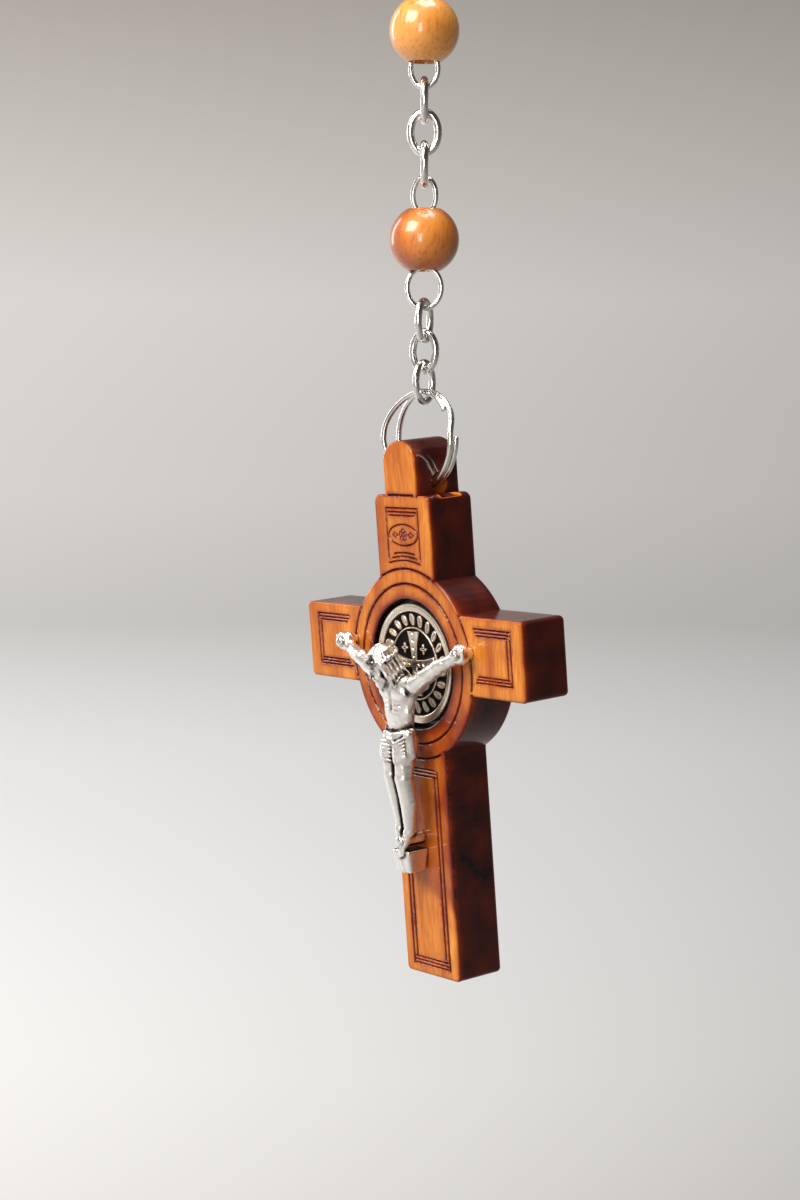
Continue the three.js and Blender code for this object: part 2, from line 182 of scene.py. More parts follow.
def add_node(tree, kind, inputs=None, stops=None, **settings):
    made = tree.nodes.new(kind)
    for key, value in settings.items():
        setattr(made, key, value)
    for key, value in (inputs or {}).items():
        if isinstance(value, bpy.types.NodeSocket):
            tree.links.new(value, made.inputs[key])
        else:
            made.inputs[key].default_value = value
    if stops:
        ramp = made.color_ramp
        while len(ramp.elements) < len(stops):
            ramp.elements.new(0.5)
        for element, (place, colour) in zip(ramp.elements, stops):
            element.position = place
            element.color = linear(colour)
    return made


def new_material(name):
    material = bpy.data.materials.new(name)
    material.use_nodes = True
    material.node_tree.nodes.clear()
    return material, material.node_tree


def across(size_mm):
    """The texture scale whose pattern repeats about every size_mm."""
    return 1000.0 / size_mm


# %% [markdown]
# ## Bright silver-plated wire
# Rosary chain is drawn brass wire with a thin coat of bright silver. Drawing leaves it smooth, and
# forming and tumbling leave faint dents and hairline scratches that break up the reflections.
# Metal has no body colour of its own: the base colour tints what it reflects.

# %% Silver-plated wire
silver_wire, tree = new_material("silver_plated_brass_wire")
place = add_node(tree, "ShaderNodeTexCoord").outputs["Object"]
dents = add_node(tree, "ShaderNodeTexNoise", {"Vector": place, "Scale": across(0.8), "Detail": 2.0})
hairlines = add_node(tree, "ShaderNodeTexNoise", {"Vector": place, "Scale": across(0.12), "Detail": 4.0})
tone = add_node(tree, "ShaderNodeValToRGB", {"Fac": dents.outputs["Fac"]},
                stops=[(0.3, "#e4e1dc"), (0.7, "#fbfaf8")])
gloss = add_node(tree, "ShaderNodeMapRange", {"Value": hairlines.outputs["Fac"], "From Min": 0.3,
                                              "From Max": 0.75, "To Min": 0.13, "To Max": 0.26})
soft = add_node(tree, "ShaderNodeBump", {"Height": dents.outputs["Fac"], "Strength": 0.35, "Distance": 0.00008})
fine = add_node(tree, "ShaderNodeBump", {"Height": hairlines.outputs["Fac"], "Strength": 0.15,
                                         "Distance": 0.00002, "Normal": soft.outputs["Normal"]})
surface = add_node(tree, "ShaderNodeBsdfPrincipled", {
    "Base Color": tone.outputs["Color"], "Metallic": 1.0, "Roughness": gloss.outputs["Result"],
    "Normal": fine.outputs["Normal"]})
add_node(tree, "ShaderNodeOutputMaterial", {"Surface": surface.outputs["BSDF"]})

# %% [markdown]
# ## Wire as a swept circle
# A bent wire is a circle carried along a line. The circle must not spin as it goes, so each ring of
# points is turned from the one before by the least amount. An open wire gets a small rounded end.

# %% Sweep a wire


def swept_wire(path, radius, sides=16):
    path = np.asarray(path, float)
    tangents = np.gradient(path, axis=0)
    tangents /= np.linalg.norm(tangents, axis=1)[:, None]
    side = np.cross(tangents[0], (0.3, 0.2, 0.93))
    side /= np.linalg.norm(side)
    angles = np.linspace(0, 2 * np.pi, sides, endpoint=False)
    tip_reach, tip_radius = radius * 0.25, radius * 0.72
    centres = np.vstack([path[0] - tangents[0] * tip_reach, path, path[-1] + tangents[-1] * tip_reach])
    tangents = np.vstack([tangents[0], tangents, tangents[-1]])
    radii = np.concatenate([[tip_radius], np.full(len(path), float(radius)), [tip_radius]])
    rings = []
    for centre, tangent, size in zip(centres, tangents, radii):
        side = side - tangent * np.dot(side, tangent)
        side /= np.linalg.norm(side)
        other = np.cross(tangent, side)
        rings.append(centre + size * (np.cos(angles)[:, None] * side + np.sin(angles)[:, None] * other))
    faces = tube_faces(len(rings), sides)
    faces.append(list(range(sides))[::-1])
    faces.append([(len(rings) - 1) * sides + j for j in range(sides)])
    return np.vstack(rings), faces


def evenly(line, step, closed=True):
    """The same line with points about every `step`."""
    line = np.asarray(line, float)
    loop = np.vstack([line, line[:1]]) if closed else line
    lengths = np.concatenate([[0], np.cumsum(np.linalg.norm(np.diff(loop, axis=0), axis=1))])
    keep = [0]
    for i in range(1, len(loop)):
        if lengths[i] - lengths[keep[-1]] > 1e-9:
            keep.append(i)
    loop, lengths = loop[keep], lengths[keep]
    result = []
    for i in range(len(loop) - 1):
        count = max(1, int(round((lengths[i + 1] - lengths[i]) / step)))
        for k in range(count):
            result.append(loop[i] + (loop[i + 1] - loop[i]) * k / count)
    if not closed:
        result.append(loop[-1])
    return np.array(result)


def upright(points, yaw_degrees):
    """Points drawn in X and Z, turned round Z."""
    a = math.radians(yaw_degrees)
    points = np.asarray(points, float)
    return np.column_stack([points[:, 0] * math.cos(a) - points[:, 1] * math.sin(a),
                            points[:, 0] * math.sin(a) + points[:, 1] * math.cos(a), points[:, 2]])


# %% [markdown]
# ## The chain links
# Each link is a short wire bent to an oval until its ends butt together. The seam stays visible as a
# hairline on one side, so the oval is left open there by a few hundredths of a millimetre. Real
# wires may touch when they swing, but these bodies can't give way, so each wire is drawn a few
# hundredths thinner than its nominal size.

# %% Chain links
SWING_ROOM = 0.025
LINKS = {
    "top_link": (0.95, 4.1, (-37, 53, -37)),
    "mid_link": (0.95, 4.1, (-37, 53, -37)),
    "low_link": (0.9, 3.9, (-64, 23, 104)),
}


def oval_link(height, width, seam_side):
    start = math.radians(0 if seam_side > 0 else 180)
    gap = 0.03 / (width / 2)
    angles = np.linspace(start + gap, start + 2 * np.pi - gap, 72)
    return np.column_stack([np.cos(angles) * width / 2, 0.02 * np.sin(3 * angles), np.sin(angles) * height / 2])


for family, (wire, width, yaws) in LINKS.items():
    for number, yaw in enumerate(yaws, 1):
        name = f"{family}_{number}"
        low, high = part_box(name)
        middle = (low.z + high.z) / 2 / MM
        height = (high.z - low.z) / MM - wire
        line = upright(oval_link(height, width - wire, (-1) ** number), yaw)
        link = swept_wire(line + (0, 0, middle), wire / 2 - SWING_ROOM)
        piece = add_piece(f"{name}_wire", *link, name, "plated_wire", [name])
        piece.data.materials.append(silver_wire)

# %% [markdown]
# ## The eye pins
# One wire runs through each bead, and round-nose pliers bend each end into an eye. The eye's end
# comes back beside the shank and lies against it, so the oval spirals sideways by half a wire.

# %% Eye pins
PIN_WIRE = 0.65
BEAD_RADIUS = 4.0
UPPER_EYE = (3.1, 3.5, 1.1, 28)
EYES = {
    1: {"up": UPPER_EYE, "down": (3.85, 4.5, 0.9, 53)},
    2: {"up": UPPER_EYE, "down": (2.45, 3.7, 1.85, 53)},
}
bead_middle = {n: hinges[f"bead_{n}_spin"]["pos_m"][2] / MM for n in EYES}


def eye_line(stands_off, width, sunk, yaw, sign):
    height = stands_off + sunk
    t = np.linspace(0.0, 0.965, 56)
    angle = -np.pi / 2 + 2 * np.pi * t
    x = np.cos(angle) * (width - PIN_WIRE + 0.06) / 2
    z = BEAD_RADIUS - sunk + height / 2 + np.sin(angle) * height / 2
    aside = 0.3 * np.clip((t - 0.6) / 0.4, 0, 1) ** 2
    return upright(np.column_stack([x, aside, sign * z]), yaw)


for number, eyes in EYES.items():
    upper = eye_line(*eyes["up"], 1)
    lower = eye_line(*eyes["down"], -1)
    shank_z = np.linspace(BEAD_RADIUS - eyes["up"][2] - 0.4, eyes["down"][2] - BEAD_RADIUS + 0.4, 8)
    shank = np.column_stack([0 * shank_z, 0 * shank_z, shank_z])
    line = evenly(np.vstack([upper[::-1], shank, lower]), 0.16, closed=False)
    name = f"eye_pin_{number}"
    pin = swept_wire(line + (0, 0, bead_middle[number]), PIN_WIRE / 2 - SWING_ROOM)
    piece = add_piece(f"{name}_wire", *pin, name, "plated_wire", [name])
    piece.data.materials.append(silver_wire)

# %% [markdown]
# ## The split ring
# Two turns of springy wire lie side by side. The wire crosses from the front turn to the back turn
# where the two cut ends meet. Opposite the cut the front turn bows forward, prised open by a nail.

# %% Split ring
RING_WIRE = 0.72
RING_CUT = 20.0
RING_CUT_HALF = 18.0
RING_BOW, BOW_FROM, BOW_TO = 1.4, 102.0, 252.0


def eased(value):
    t = np.clip(value, 0.0, 1.0)
    return t * t * (3 - 2 * t)


ring_low, ring_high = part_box("split_ring")
ring_radius = (ring_high.z - ring_low.z) / MM / 2 - RING_WIRE / 2
ring_middle = (ring_high.z + ring_low.z) / MM / 2
turned_by = np.linspace(RING_CUT_HALF, 720 - RING_CUT_HALF, 260)
angle = np.radians(RING_CUT + turned_by)
crossing = eased((turned_by - 360 + RING_CUT_HALF) / (2 * RING_CUT_HALF))
bow = np.clip((RING_CUT + turned_by - BOW_FROM) / (BOW_TO - BOW_FROM), 0, 1)
sprung = RING_BOW * np.sin(np.pi * bow) ** 2
ring_line = np.column_stack([
    np.cos(angle) * ring_radius,
    (RING_WIRE / 2 + 0.03) * (2 * crossing - 1) - sprung,
    np.sin(angle) * ring_radius + ring_middle,
])
ring = swept_wire(ring_line, RING_WIRE / 2 - SWING_ROOM)
piece = add_piece("split_ring_wire", *ring, "split_ring", "plated_wire", ["split_ring"])
piece.data.materials.append(silver_wire)

# %% [markdown]
# ## Lacquered olive wood, turned
# Olive wood is warm orange-brown with darker bands where the growth rings bunch up. A turned bead
# cuts through the rings, so the bands show as wavy stripes. The wood is under a clear lacquer: a
# coat with its own sharp gloss over the softer wood.

# %% Turned olive wood
bead_wood, tree = new_material("lacquered_turned_olive_wood")
place = add_node(tree, "ShaderNodeTexCoord").outputs["Object"]
wander = add_node(tree, "ShaderNodeTexNoise", {"Vector": place, "Scale": across(5.0), "Detail": 2.0})
bent = add_node(tree, "ShaderNodeVectorMath", {0: wander.outputs["Color"], "Scale": 0.0022}, operation="SCALE")
figure = add_node(tree, "ShaderNodeVectorMath", {0: place, 1: bent.outputs["Vector"]}, operation="ADD")
turn = add_node(tree, "ShaderNodeMapping", {"Vector": figure.outputs["Vector"],
                                            "Rotation": (0.25, 0.1, math.radians(28))})
bands = add_node(tree, "ShaderNodeTexWave", {"Vector": turn.outputs["Vector"], "Scale": across(5.4) / 6.28,
                                             "Distortion": 1.6, "Detail": 2.0, "Detail Scale": 1.2,
                                             "Phase Offset": 3.4}, bands_direction="X")
stretched = add_node(tree, "ShaderNodeMapping", {"Vector": turn.outputs["Vector"], "Scale": (1.0, 1.0, 0.16)})
pores = add_node(tree, "ShaderNodeTexNoise", {"Vector": stretched.outputs["Vector"], "Scale": across(0.35),
                                              "Detail": 5.0})
tone = add_node(tree, "ShaderNodeValToRGB", {"Fac": bands.outputs["Fac"]}, stops=[
    (0.0, "#a45214"), (0.2, "#cc7626"), (0.5, "#de8f38"), (1.0, "#e8a04a")])
grain = add_node(tree, "ShaderNodeValToRGB", {"Fac": pores.outputs["Fac"]},
                 stops=[(0.3, "#d3a783"), (0.5, "#ffffff")])
colour = add_node(tree, "ShaderNodeMix", {"Factor": 0.7, "A": tone.outputs["Color"], "B": grain.outputs["Color"]},
                  data_type="RGBA", blend_type="MULTIPLY")
fine = add_node(tree, "ShaderNodeBump", {"Height": pores.outputs["Fac"], "Strength": 0.25, "Distance": 0.00006})
surface = add_node(tree, "ShaderNodeBsdfPrincipled", {
    "Base Color": colour.outputs[2], "Roughness": 0.42, "IOR": 1.5, "Normal": fine.outputs["Normal"],
    "Coat Weight": 0.9, "Coat Roughness": 0.17, "Coat IOR": 1.5, "Subsurface Weight": 0.06,
    "Subsurface Scale": 0.0006})
add_node(tree, "ShaderNodeOutputMaterial", {"Surface": surface.outputs["BSDF"]})

# %% [markdown]
# ## The beads
# A bead is turned on a spindle and bored through. A round cutter then sinks a cup into each end of
# the bore, so that the eyes of the pin nest in the bead and the strand bends close to it.

# %% Turned beads
BORE_RADIUS = 0.495
CUP_RADIUS, CUP_DEPTH = 1.85, 2.225
LIP = 0.12


def turned(profile, sides=96):
    """Turns a closed line of (radius, height) round Z."""
    profile = np.asarray(profile, float)
    angles = np.linspace(0, 2 * np.pi, sides, endpoint=False)
    points = np.array([[r * math.cos(a), r * math.sin(a), h] for r, h in profile for a in angles])
    count = len(points)
    faces = tube_faces(len(profile) + 1, sides)
    return points, [[i % count for i in face] for face in faces]


def bead_profile():
    start = math.asin((CUP_RADIUS + LIP / 2) / BEAD_RADIUS)
    line = [(math.sin(a) * BEAD_RADIUS, -math.cos(a) * BEAD_RADIUS)
            for a in np.linspace(start, math.pi - start, 64)]
    rim_z = math.sqrt(BEAD_RADIUS ** 2 - CUP_RADIUS ** 2)
    floor_z = BEAD_RADIUS - CUP_DEPTH
    cup = [(CUP_RADIUS, rim_z - 0.02)]
    cup += [(math.cos(a) * CUP_RADIUS, rim_z - math.sin(a) * (rim_z - floor_z))
            for a in np.linspace(0.1, 1.3, 14)]
    cup += [(BORE_RADIUS + 0.05, floor_z), (BORE_RADIUS, floor_z - 0.05)]
    return line + cup + [(r, -h) for r, h in cup[::-1]]


for number, height in bead_middle.items():
    points, faces = turned(bead_profile())
    name = f"bead_{number}"
    piece = add_piece(f"{name}_turned", points + (0, 0, height), faces, name, "bead_wood", [name], 50)
    piece.data.materials.append(bead_wood)

# %% [markdown]
# ## The cross's outline
# The cross is cut from one board: a rounded lug above, a short neck, a disc where the arms meet, two
# arms and a long shaft. One list of points runs round it, drawn every third of a millimetre.

# %% Outline of the cross
DEPTH = 6.5
FRONT = -DEPTH / 2
DISC_RADIUS = 11.2
DISC_HEIGHT = -19.6
LUG_HALF, LUG_HEIGHT, LUG_ROUND = 3.05, 6.3, 2.6
NECK_HALF, SHAFT_HALF, ARM_HALF = 5.2, 5.0, 20.4
ARM_TOP, ARM_BOTTOM, FOOT = -13.4, -22.5, -56.7
SHOULDER, CORNER = 0.9, 0.6
HOLE_RADIUS = 1.2


def arc(cx, cz, rx, rz, start, end, count=8):
    angles = np.radians(np.linspace(start, end, count))
    return [(cx + math.cos(a) * rx, cz + math.sin(a) * rz) for a in angles]


def disc_arc(x0, z0, x1, z1):
    start = math.degrees(math.atan2(z0 - DISC_HEIGHT, x0))
    end = math.degrees(math.atan2(z1 - DISC_HEIGHT, x1))
    return arc(0, DISC_HEIGHT, DISC_RADIUS, DISC_RADIUS, start, end, 24)


def on_disc(value):
    return math.sqrt(DISC_RADIUS ** 2 - value ** 2)


half = arc(0, LUG_HEIGHT - LUG_ROUND, LUG_HALF, LUG_ROUND, 90, 0, 24)
half += [(LUG_HALF, 0.0)]
half += arc(NECK_HALF - SHOULDER, -SHOULDER, SHOULDER, SHOULDER, 90, 0)
half += disc_arc(NECK_HALF, DISC_HEIGHT + on_disc(NECK_HALF), on_disc(ARM_TOP - DISC_HEIGHT), ARM_TOP)
half += arc(ARM_HALF - CORNER, ARM_TOP - CORNER, CORNER, CORNER, 90, 0)
half += arc(ARM_HALF - CORNER, ARM_BOTTOM + CORNER, CORNER, CORNER, 0, -90)
half += disc_arc(on_disc(ARM_BOTTOM - DISC_HEIGHT), ARM_BOTTOM, SHAFT_HALF, DISC_HEIGHT - on_disc(SHAFT_HALF))
half += arc(SHAFT_HALF - CORNER, FOOT + CORNER, CORNER, CORNER, 0, -90)
outline = evenly(np.array(half + [(-x, z) for x, z in half[:0:-1]]), 0.3)
print("outline", len(outline), "points")

# %% [markdown]
# ## The burnt lines
# A laser or a hot wire draws the ornament: a double border on each arm and on the shaft, rings
# round the medal, and a small flower in an oval on the neck. Each line is a shallow round-bottomed
# groove. The lines are kept as lists of points, which both the shape and the scorching use.

# %% Lines of ornament


def straight(x0, z0, x1, z1):
    return [(x0, z0), (x1, z1)]


LINE, THIN, FINEST = 0.11, 0.085, 0.09
OVAL_HEIGHT = -4.6
grooves = []
grooves.append((arc(0, DISC_HEIGHT, 9.35, 9.35, 0, 360, 181), LINE))
for start, end in ((117.3, 62.7), (33.4, -14.9), (146.6, 194.9), (-63.2, -116.8)):
    grooves.append((arc(0, DISC_HEIGHT, 11.1, 11.1, start, end, 40), LINE))
grooves.append((straight(-LUG_HALF, 0.0, LUG_HALF, 0.0), LINE))
for level, reach in ((-1.5, 2.95), (-1.95, 2.7), (-2.35, 2.4)):
    grooves.append((straight(-reach, level, reach, level), THIN))
for radius, reach in ((12.95, 1.9), (12.5, 2.3), (12.05, 2.9)):
    spread = math.degrees(math.asin(reach / radius))
    grooves.append((arc(0, DISC_HEIGHT, radius, radius, 90 + spread, 90 - spread, 14), THIN))
for side in (-1, 1):
    grooves.append((straight(side * 3.0, -1.7, side * 3.0, -7.5), THIN))
grooves.append((arc(0, OVAL_HEIGHT, 2.7, 1.22, 0, 360, 60), THIN))
for petal in range(5):
    centre = math.radians(90 + 72 * petal)
    petal_x, petal_z = 0.45 * math.cos(centre), OVAL_HEIGHT + 0.45 * math.sin(centre)
    grooves.append((arc(petal_x, petal_z, 0.26, 0.26, 0, 360, 12), FINEST))
for side in (-1, 1):
    for bend in (-0.3, 0.3):
        leaf = [(side * 1.0, OVAL_HEIGHT), (side * 1.45, OVAL_HEIGHT + bend), (side * 1.95, OVAL_HEIGHT)]
        grooves.append((leaf, FINEST))
for side in (-1, 1):
    for levels in ((-14.7, -15.1, -15.45), (-20.8, -20.45, -20.1)):
        for level, shorter in zip(levels, (0.0, 0.25, 0.5)):
            grooves.append((straight(side * (11.9 + shorter), level, side * (18.3 - shorter), level), THIN))
    grooves.append((straight(side * 18.3, -14.7, side * 18.3, -20.8), THIN))
    grooves.append((straight(side * 17.7, -15.5, side * 17.7, -20.1), THIN))
for level in (-31.9, -32.3, -32.7, -54.7, -55.1, -55.5):
    grooves.append((straight(-3.1, level, 3.1, level), THIN))
for side in (-1, 1):
    grooves.append((straight(side * 3.4, -32.0, side * 3.4, -55.5), LINE))
    grooves.append((straight(side * 2.75, -32.7, side * 2.75, -54.7), LINE))
print(len(grooves), "lines")

# %% [markdown]
# ## The board, cut and eased
# The front is meshed finely enough to hold the grooves and the rounded edge, and each point's depth
# is then worked out from how near it is to the edge and to a line. The same distances say how
# scorched the wood is there. Painted shadow of the figure is added to that number, which is stored on the mesh for the
# finish to use.

# %% Distances


def distances(points, line, closed=False):
    """How far each point is from a line of points."""
    a = np.asarray(line, float)
    b = np.roll(a, -1, 0) if closed else a[1:]
    a = a if closed else a[:-1]
    best = np.full(len(points), 1e9)
    for p, q in zip(a, b):
        along = q - p
        t = np.clip(((points - p) @ along) / max(along @ along, 1e-12), 0, 1)
        best = np.minimum(best, np.linalg.norm(points - p - t[:, None] * along, axis=1))
    return best


def inside(points, loop):
    x, z = points[:, 0], points[:, 1]
    crossings = np.zeros(len(points), int)
    for (x0, z0), (x1, z1) in zip(loop, np.roll(loop, -1, 0)):
        if z0 != z1:
            over = (z0 > z) != (z1 > z)
            crossings += over & (x < (x1 - x0) * (z - z0) / (z1 - z0) + x0)
    return crossings % 2 == 1


# %% [markdown]
# The front sheet is a triangulation whose edges follow the outline, a few lines just inside it, the
# pocket for the medal, and both sides of every groove.

# %% Mesh the front
EDGE_ROUND = 0.32
BACK_ROUND = 0.7
POCKET = 7.6
POCKET_DEPTH = 1.55
FRONT_INSETS = (0.03, 0.09, 0.18, 0.32, 0.5)


def inset(loop, amount):
    before, after = np.roll(loop, 1, 0), np.roll(loop, -1, 0)
    tangent = after - before
    tangent /= np.linalg.norm(tangent, axis=1)[:, None]
    return loop + np.column_stack([tangent[:, 1], -tangent[:, 0]]) * amount


def front_sheet():
    rows = [outline] + [inset(outline, a) for a in FRONT_INSETS]
    for beyond in (0, 0.05, 0.14, 0.28):
        rows.append(np.array(arc(0, DISC_HEIGHT, POCKET + beyond, POCKET + beyond, 0, 360, 161))[:-1])
    for line, width in grooves:
        line = evenly(line, 0.28, closed=False)
        along = np.gradient(line, axis=0)
        along /= np.linalg.norm(along, axis=1)[:, None]
        normal = np.column_stack([-along[:, 1], along[:, 0]])
        rows += [line + normal * width * k for k in (-1.7, -0.9, 0, 0.9, 1.7)]
    step = 0.42
    grid_x, grid_z = np.meshgrid(np.arange(-21, 21, step), np.arange(-57, 7, step))
    grid = np.column_stack([grid_x.ravel(), grid_z.ravel()])
    rows.append(grid + random.uniform(-0.1, 0.1, grid.shape))
    scatter = np.vstack(rows[1 + len(FRONT_INSETS):])
    keep = inside(scatter, outline) & (np.linalg.norm(scatter - (0, DISC_HEIGHT), axis=1) > POCKET - 1e-6)
    keep &= distances(scatter, outline, closed=True) > FRONT_INSETS[-1] + 0.06
    scatter = scatter[keep]
    rings = rows[:1 + len(FRONT_INSETS)]
    points = np.vstack(rings + [scatter])
    edge_count = len(outline)
    edges = []
    for k in range(len(rings)):
        edges += [(k * edge_count + i, k * edge_count + (i + 1) % edge_count) for i in range(edge_count)]
    flat, _, triangles, _, _, _ = delaunay_2d_cdt([Vector(p) for p in points], edges, [], 0, 1e-5)
    flat = np.array([tuple(p) for p in flat])
    triangles = np.array(triangles)
    middles = flat[triangles].mean(1)
    keep = inside(middles, outline) & (np.linalg.norm(middles - (0, DISC_HEIGHT), axis=1) > POCKET - 0.01)
    return flat, triangles[keep]


flat, triangles = front_sheet()
print("front", len(flat), "points", len(triangles), "triangles")

# %% Depth of the front
from_edge = distances(flat, outline, closed=True)
from_middle = np.linalg.norm(flat - (0, DISC_HEIGHT), axis=1)


def eased_edge(distance, size):
    t = np.clip(1 - distance / size, 0, 1)
    return size * (1 - np.sqrt(np.clip(1 - t * t, 0, 1)))


carved = eased_edge(from_edge, EDGE_ROUND) * 0.8 + eased_edge(from_middle - POCKET, 0.2)
near_line = np.zeros(len(flat))
for line, width in grooves:
    away = distances(flat, line)
    char, depth = {LINE: (0.78, 0.26), THIN: (0.62, 0.19), FINEST: (0.62, 0.11)}[width]
    near_line = np.maximum(near_line, np.exp(-(away / (width * 1.6)) ** 2) * char + np.exp(-away / 0.9) * 0.2)
    cut = 0.5 + 0.5 * np.cos(np.pi * np.clip(away / (width * 1.5), 0, 1))
    carved = np.maximum(carved, cut * depth)
front_points = np.column_stack([flat[:, 0], FRONT + carved, flat[:, 1]])
halo_and_shadow = np.exp(-from_edge / 0.25) * 0.5 + np.exp(-np.abs(from_middle - POCKET) / 0.5) * 0.65


def within(low, value, high, soft):
    """One inside a range, fading to nothing outside it."""
    return eased((value - low) / soft + 0.5) * eased((high - value) / soft + 0.5)


# Painted shadow of the figure: the lower half of the disc and the upper shaft, under the figure, are darkened. The
# left of the neck is darkened too.
x, h = flat.T
disc = within(-1, from_middle, 11.3, 1.2)
trunk = within(-9, x, 9, 1) * (1 - disc)
halo_and_shadow += disc * (0.14 + 0.26 * eased((DISC_HEIGHT - h + 2) / 9))
halo_and_shadow += trunk * 0.24 * within(-12.6, h, -0.4, 2.0) * eased((4.6 - x) / 2.5)
halo_and_shadow += trunk * 0.36 * within(-46.2, h + 0.45 * x, -27, 2.2)
halo_and_shadow += 0.1 * eased((-54.5 - h) / 2)
# Scorch and the figure's painted shadow are stored together as one number.
front_burn_and_shadow = np.clip(np.maximum(near_line, halo_and_shadow), 0, 1)

# %% [markdown]
# The sides are cut by the same beam, which chars them and leaves fine upright ripples. The back is
# sanded, with a fuller round on its edges.

# %% Sides, back and pocket


def walls():
    levels = [0.0, 0.25, 0.6, 1.2, 2.0, 3.0, 4.0, 4.8, 5.4]
    depths = [FRONT + EDGE_ROUND * 0.8 + v * (DEPTH - EDGE_ROUND * 0.8 - BACK_ROUND) / 5.4 for v in levels]
    lengths = np.concatenate([[0], np.cumsum(np.linalg.norm(np.diff(outline, axis=0), axis=1))])
    ripple = 0.006 * np.sin(lengths * 7.3) * (1 + 0.5 * np.sin(lengths * 0.9))
    ripple += random.normal(0, 0.003, len(outline))
    rows, burn = [], []
    for k, depth in enumerate(depths):
        loop = inset(outline, (0.02 - ripple)[:, None]) if k else outline
        rows.append(np.column_stack([loop[:, 0], np.full(len(loop), depth), loop[:, 1]]))
        burn.append(np.full(len(loop), (0.5, 0.66, 0.78, 0.84, 0.88)[min(k, 4)]))
    for k in range(1, 7):
        angle = math.pi / 2 * k / 6
        loop = inset(outline, BACK_ROUND * (1 - math.cos(angle)))
        depth = DEPTH / 2 - BACK_ROUND * (1 - math.sin(angle))
        rows.append(np.column_stack([loop[:, 0], np.full(len(loop), depth), loop[:, 1]]))
        burn.append(np.full(len(loop), 0.92 - 0.7 * k / 6))
    return np.vstack(rows), tube_faces(len(rows), len(outline)), np.concatenate(burn), rows[-1]


wall_points, wall_faces, wall_burn, last_row = walls()


def back_sheet(loop):
    grid_x, grid_z = np.meshgrid(np.arange(-21, 21, 0.9), np.arange(-57, 7, 0.9))
    grid = np.column_stack([grid_x.ravel(), grid_z.ravel()])
    rim = loop[:, [0, 2]]
    grid = grid[inside(grid, rim) & (distances(grid, rim, closed=True) > 0.4)]
    points = np.vstack([rim, grid])
    edges = [(i, (i + 1) % len(rim)) for i in range(len(rim))]
    flat, _, triangles, _, _, _ = delaunay_2d_cdt([Vector(p) for p in points], edges, [], 0, 1e-5)
    flat = np.array([tuple(p) for p in flat])
    triangles = np.array(triangles)
    keep = inside(flat[triangles].mean(1), rim)
    points = np.column_stack([flat[:, 0], np.full(len(flat), DEPTH / 2), flat[:, 1]])
    return points, triangles[keep][:, ::-1].tolist(), np.full(len(points), 0.12)


def pocket():
    rows, burn = [], []
    angles = np.radians(np.linspace(0, 360, 161))[:-1]
    steps = [(POCKET, 0.2), (POCKET, 0.5), (POCKET, 1.0), (POCKET - 0.03, POCKET_DEPTH - 0.08),
             (POCKET - 0.1, POCKET_DEPTH), (5.0, POCKET_DEPTH), (2.0, POCKET_DEPTH)]
    for radius, deep in steps:
        rows.append(np.column_stack([np.cos(angles) * radius, np.full(160, FRONT + deep),
                                     DISC_HEIGHT + np.sin(angles) * radius]))
        burn.append(np.full(160, 1.2))
    points = np.vstack(rows + [[[0, FRONT + POCKET_DEPTH, DISC_HEIGHT]]])
    burn.append([1.2])
    faces = [face[::-1] for face in tube_faces(len(rows), 160)]
    last = (len(rows) - 1) * 160
    faces += [[last + (i + 1) % 160, last + i, len(points) - 1] for i in range(160)]
    return points, faces, np.concatenate(burn)


parts = [
    (front_points, triangles.tolist(), front_burn_and_shadow),
    (wall_points, wall_faces, wall_burn),
    back_sheet(last_row),
    pocket(),
]
all_points, all_faces = joined([(p, f) for p, f, _ in parts])
all_burn_and_shadow = np.concatenate([b for _, _, b in parts])
print("cross", len(all_points), "points")

# %% [markdown]
# ## Scorched and lacquered olive wood
# The board is the same olive wood as the beads, but the beam has browned it near every cut. One
# colour ramp runs from raw honey through red-brown to char. The stored number, scorching plus
# the painted shadow of the figure, picks the place on it. The grain runs up the shaft.

# %% Laser-cut olive wood
cross_wood, tree = new_material("lacquered_laser_cut_olive_wood")
place = add_node(tree, "ShaderNodeTexCoord").outputs["Object"]
# The stored number is scorch plus, on the front, the painted shadow of the figure.
burn = add_node(tree, "ShaderNodeAttribute", attribute_name="scorch_and_shadow", attribute_type="GEOMETRY").outputs["Fac"]
wander = add_node(tree, "ShaderNodeTexNoise", {"Vector": place, "Scale": across(12.0), "Detail": 1.0})
bent = add_node(tree, "ShaderNodeVectorMath", {0: wander.outputs["Color"], "Scale": 0.0025}, operation="SCALE")
figure = add_node(tree, "ShaderNodeVectorMath", {0: place, 1: bent.outputs["Vector"]}, operation="ADD")
long_grain = add_node(tree, "ShaderNodeMapping", {"Vector": figure.outputs["Vector"],
                                                  "Scale": (1.0, 1.0, 0.07)})
bands = add_node(tree, "ShaderNodeTexNoise", {"Vector": long_grain.outputs["Vector"], "Scale": across(2.2),
                                              "Detail": 3.0})
fibres = add_node(tree, "ShaderNodeTexNoise", {"Vector": long_grain.outputs["Vector"], "Scale": across(0.3),
                                               "Detail": 4.0})
tone = add_node(tree, "ShaderNodeValToRGB", {"Fac": bands.outputs["Fac"]}, stops=[
    (0.3, "#a65414"), (0.45, "#c0701f"), (0.6, "#d2852c"), (0.75, "#de983e")])
grain = add_node(tree, "ShaderNodeValToRGB", {"Fac": fibres.outputs["Fac"]},
                 stops=[(0.3, "#cf9c74"), (0.6, "#ffffff")])
wood = add_node(tree, "ShaderNodeMix", {"Factor": 0.6, "A": tone.outputs["Color"], "B": grain.outputs["Color"]},
                data_type="RGBA", blend_type="MULTIPLY")
cloud = add_node(tree, "ShaderNodeTexNoise", {"Vector": place, "Scale": across(3.5), "Detail": 3.0})
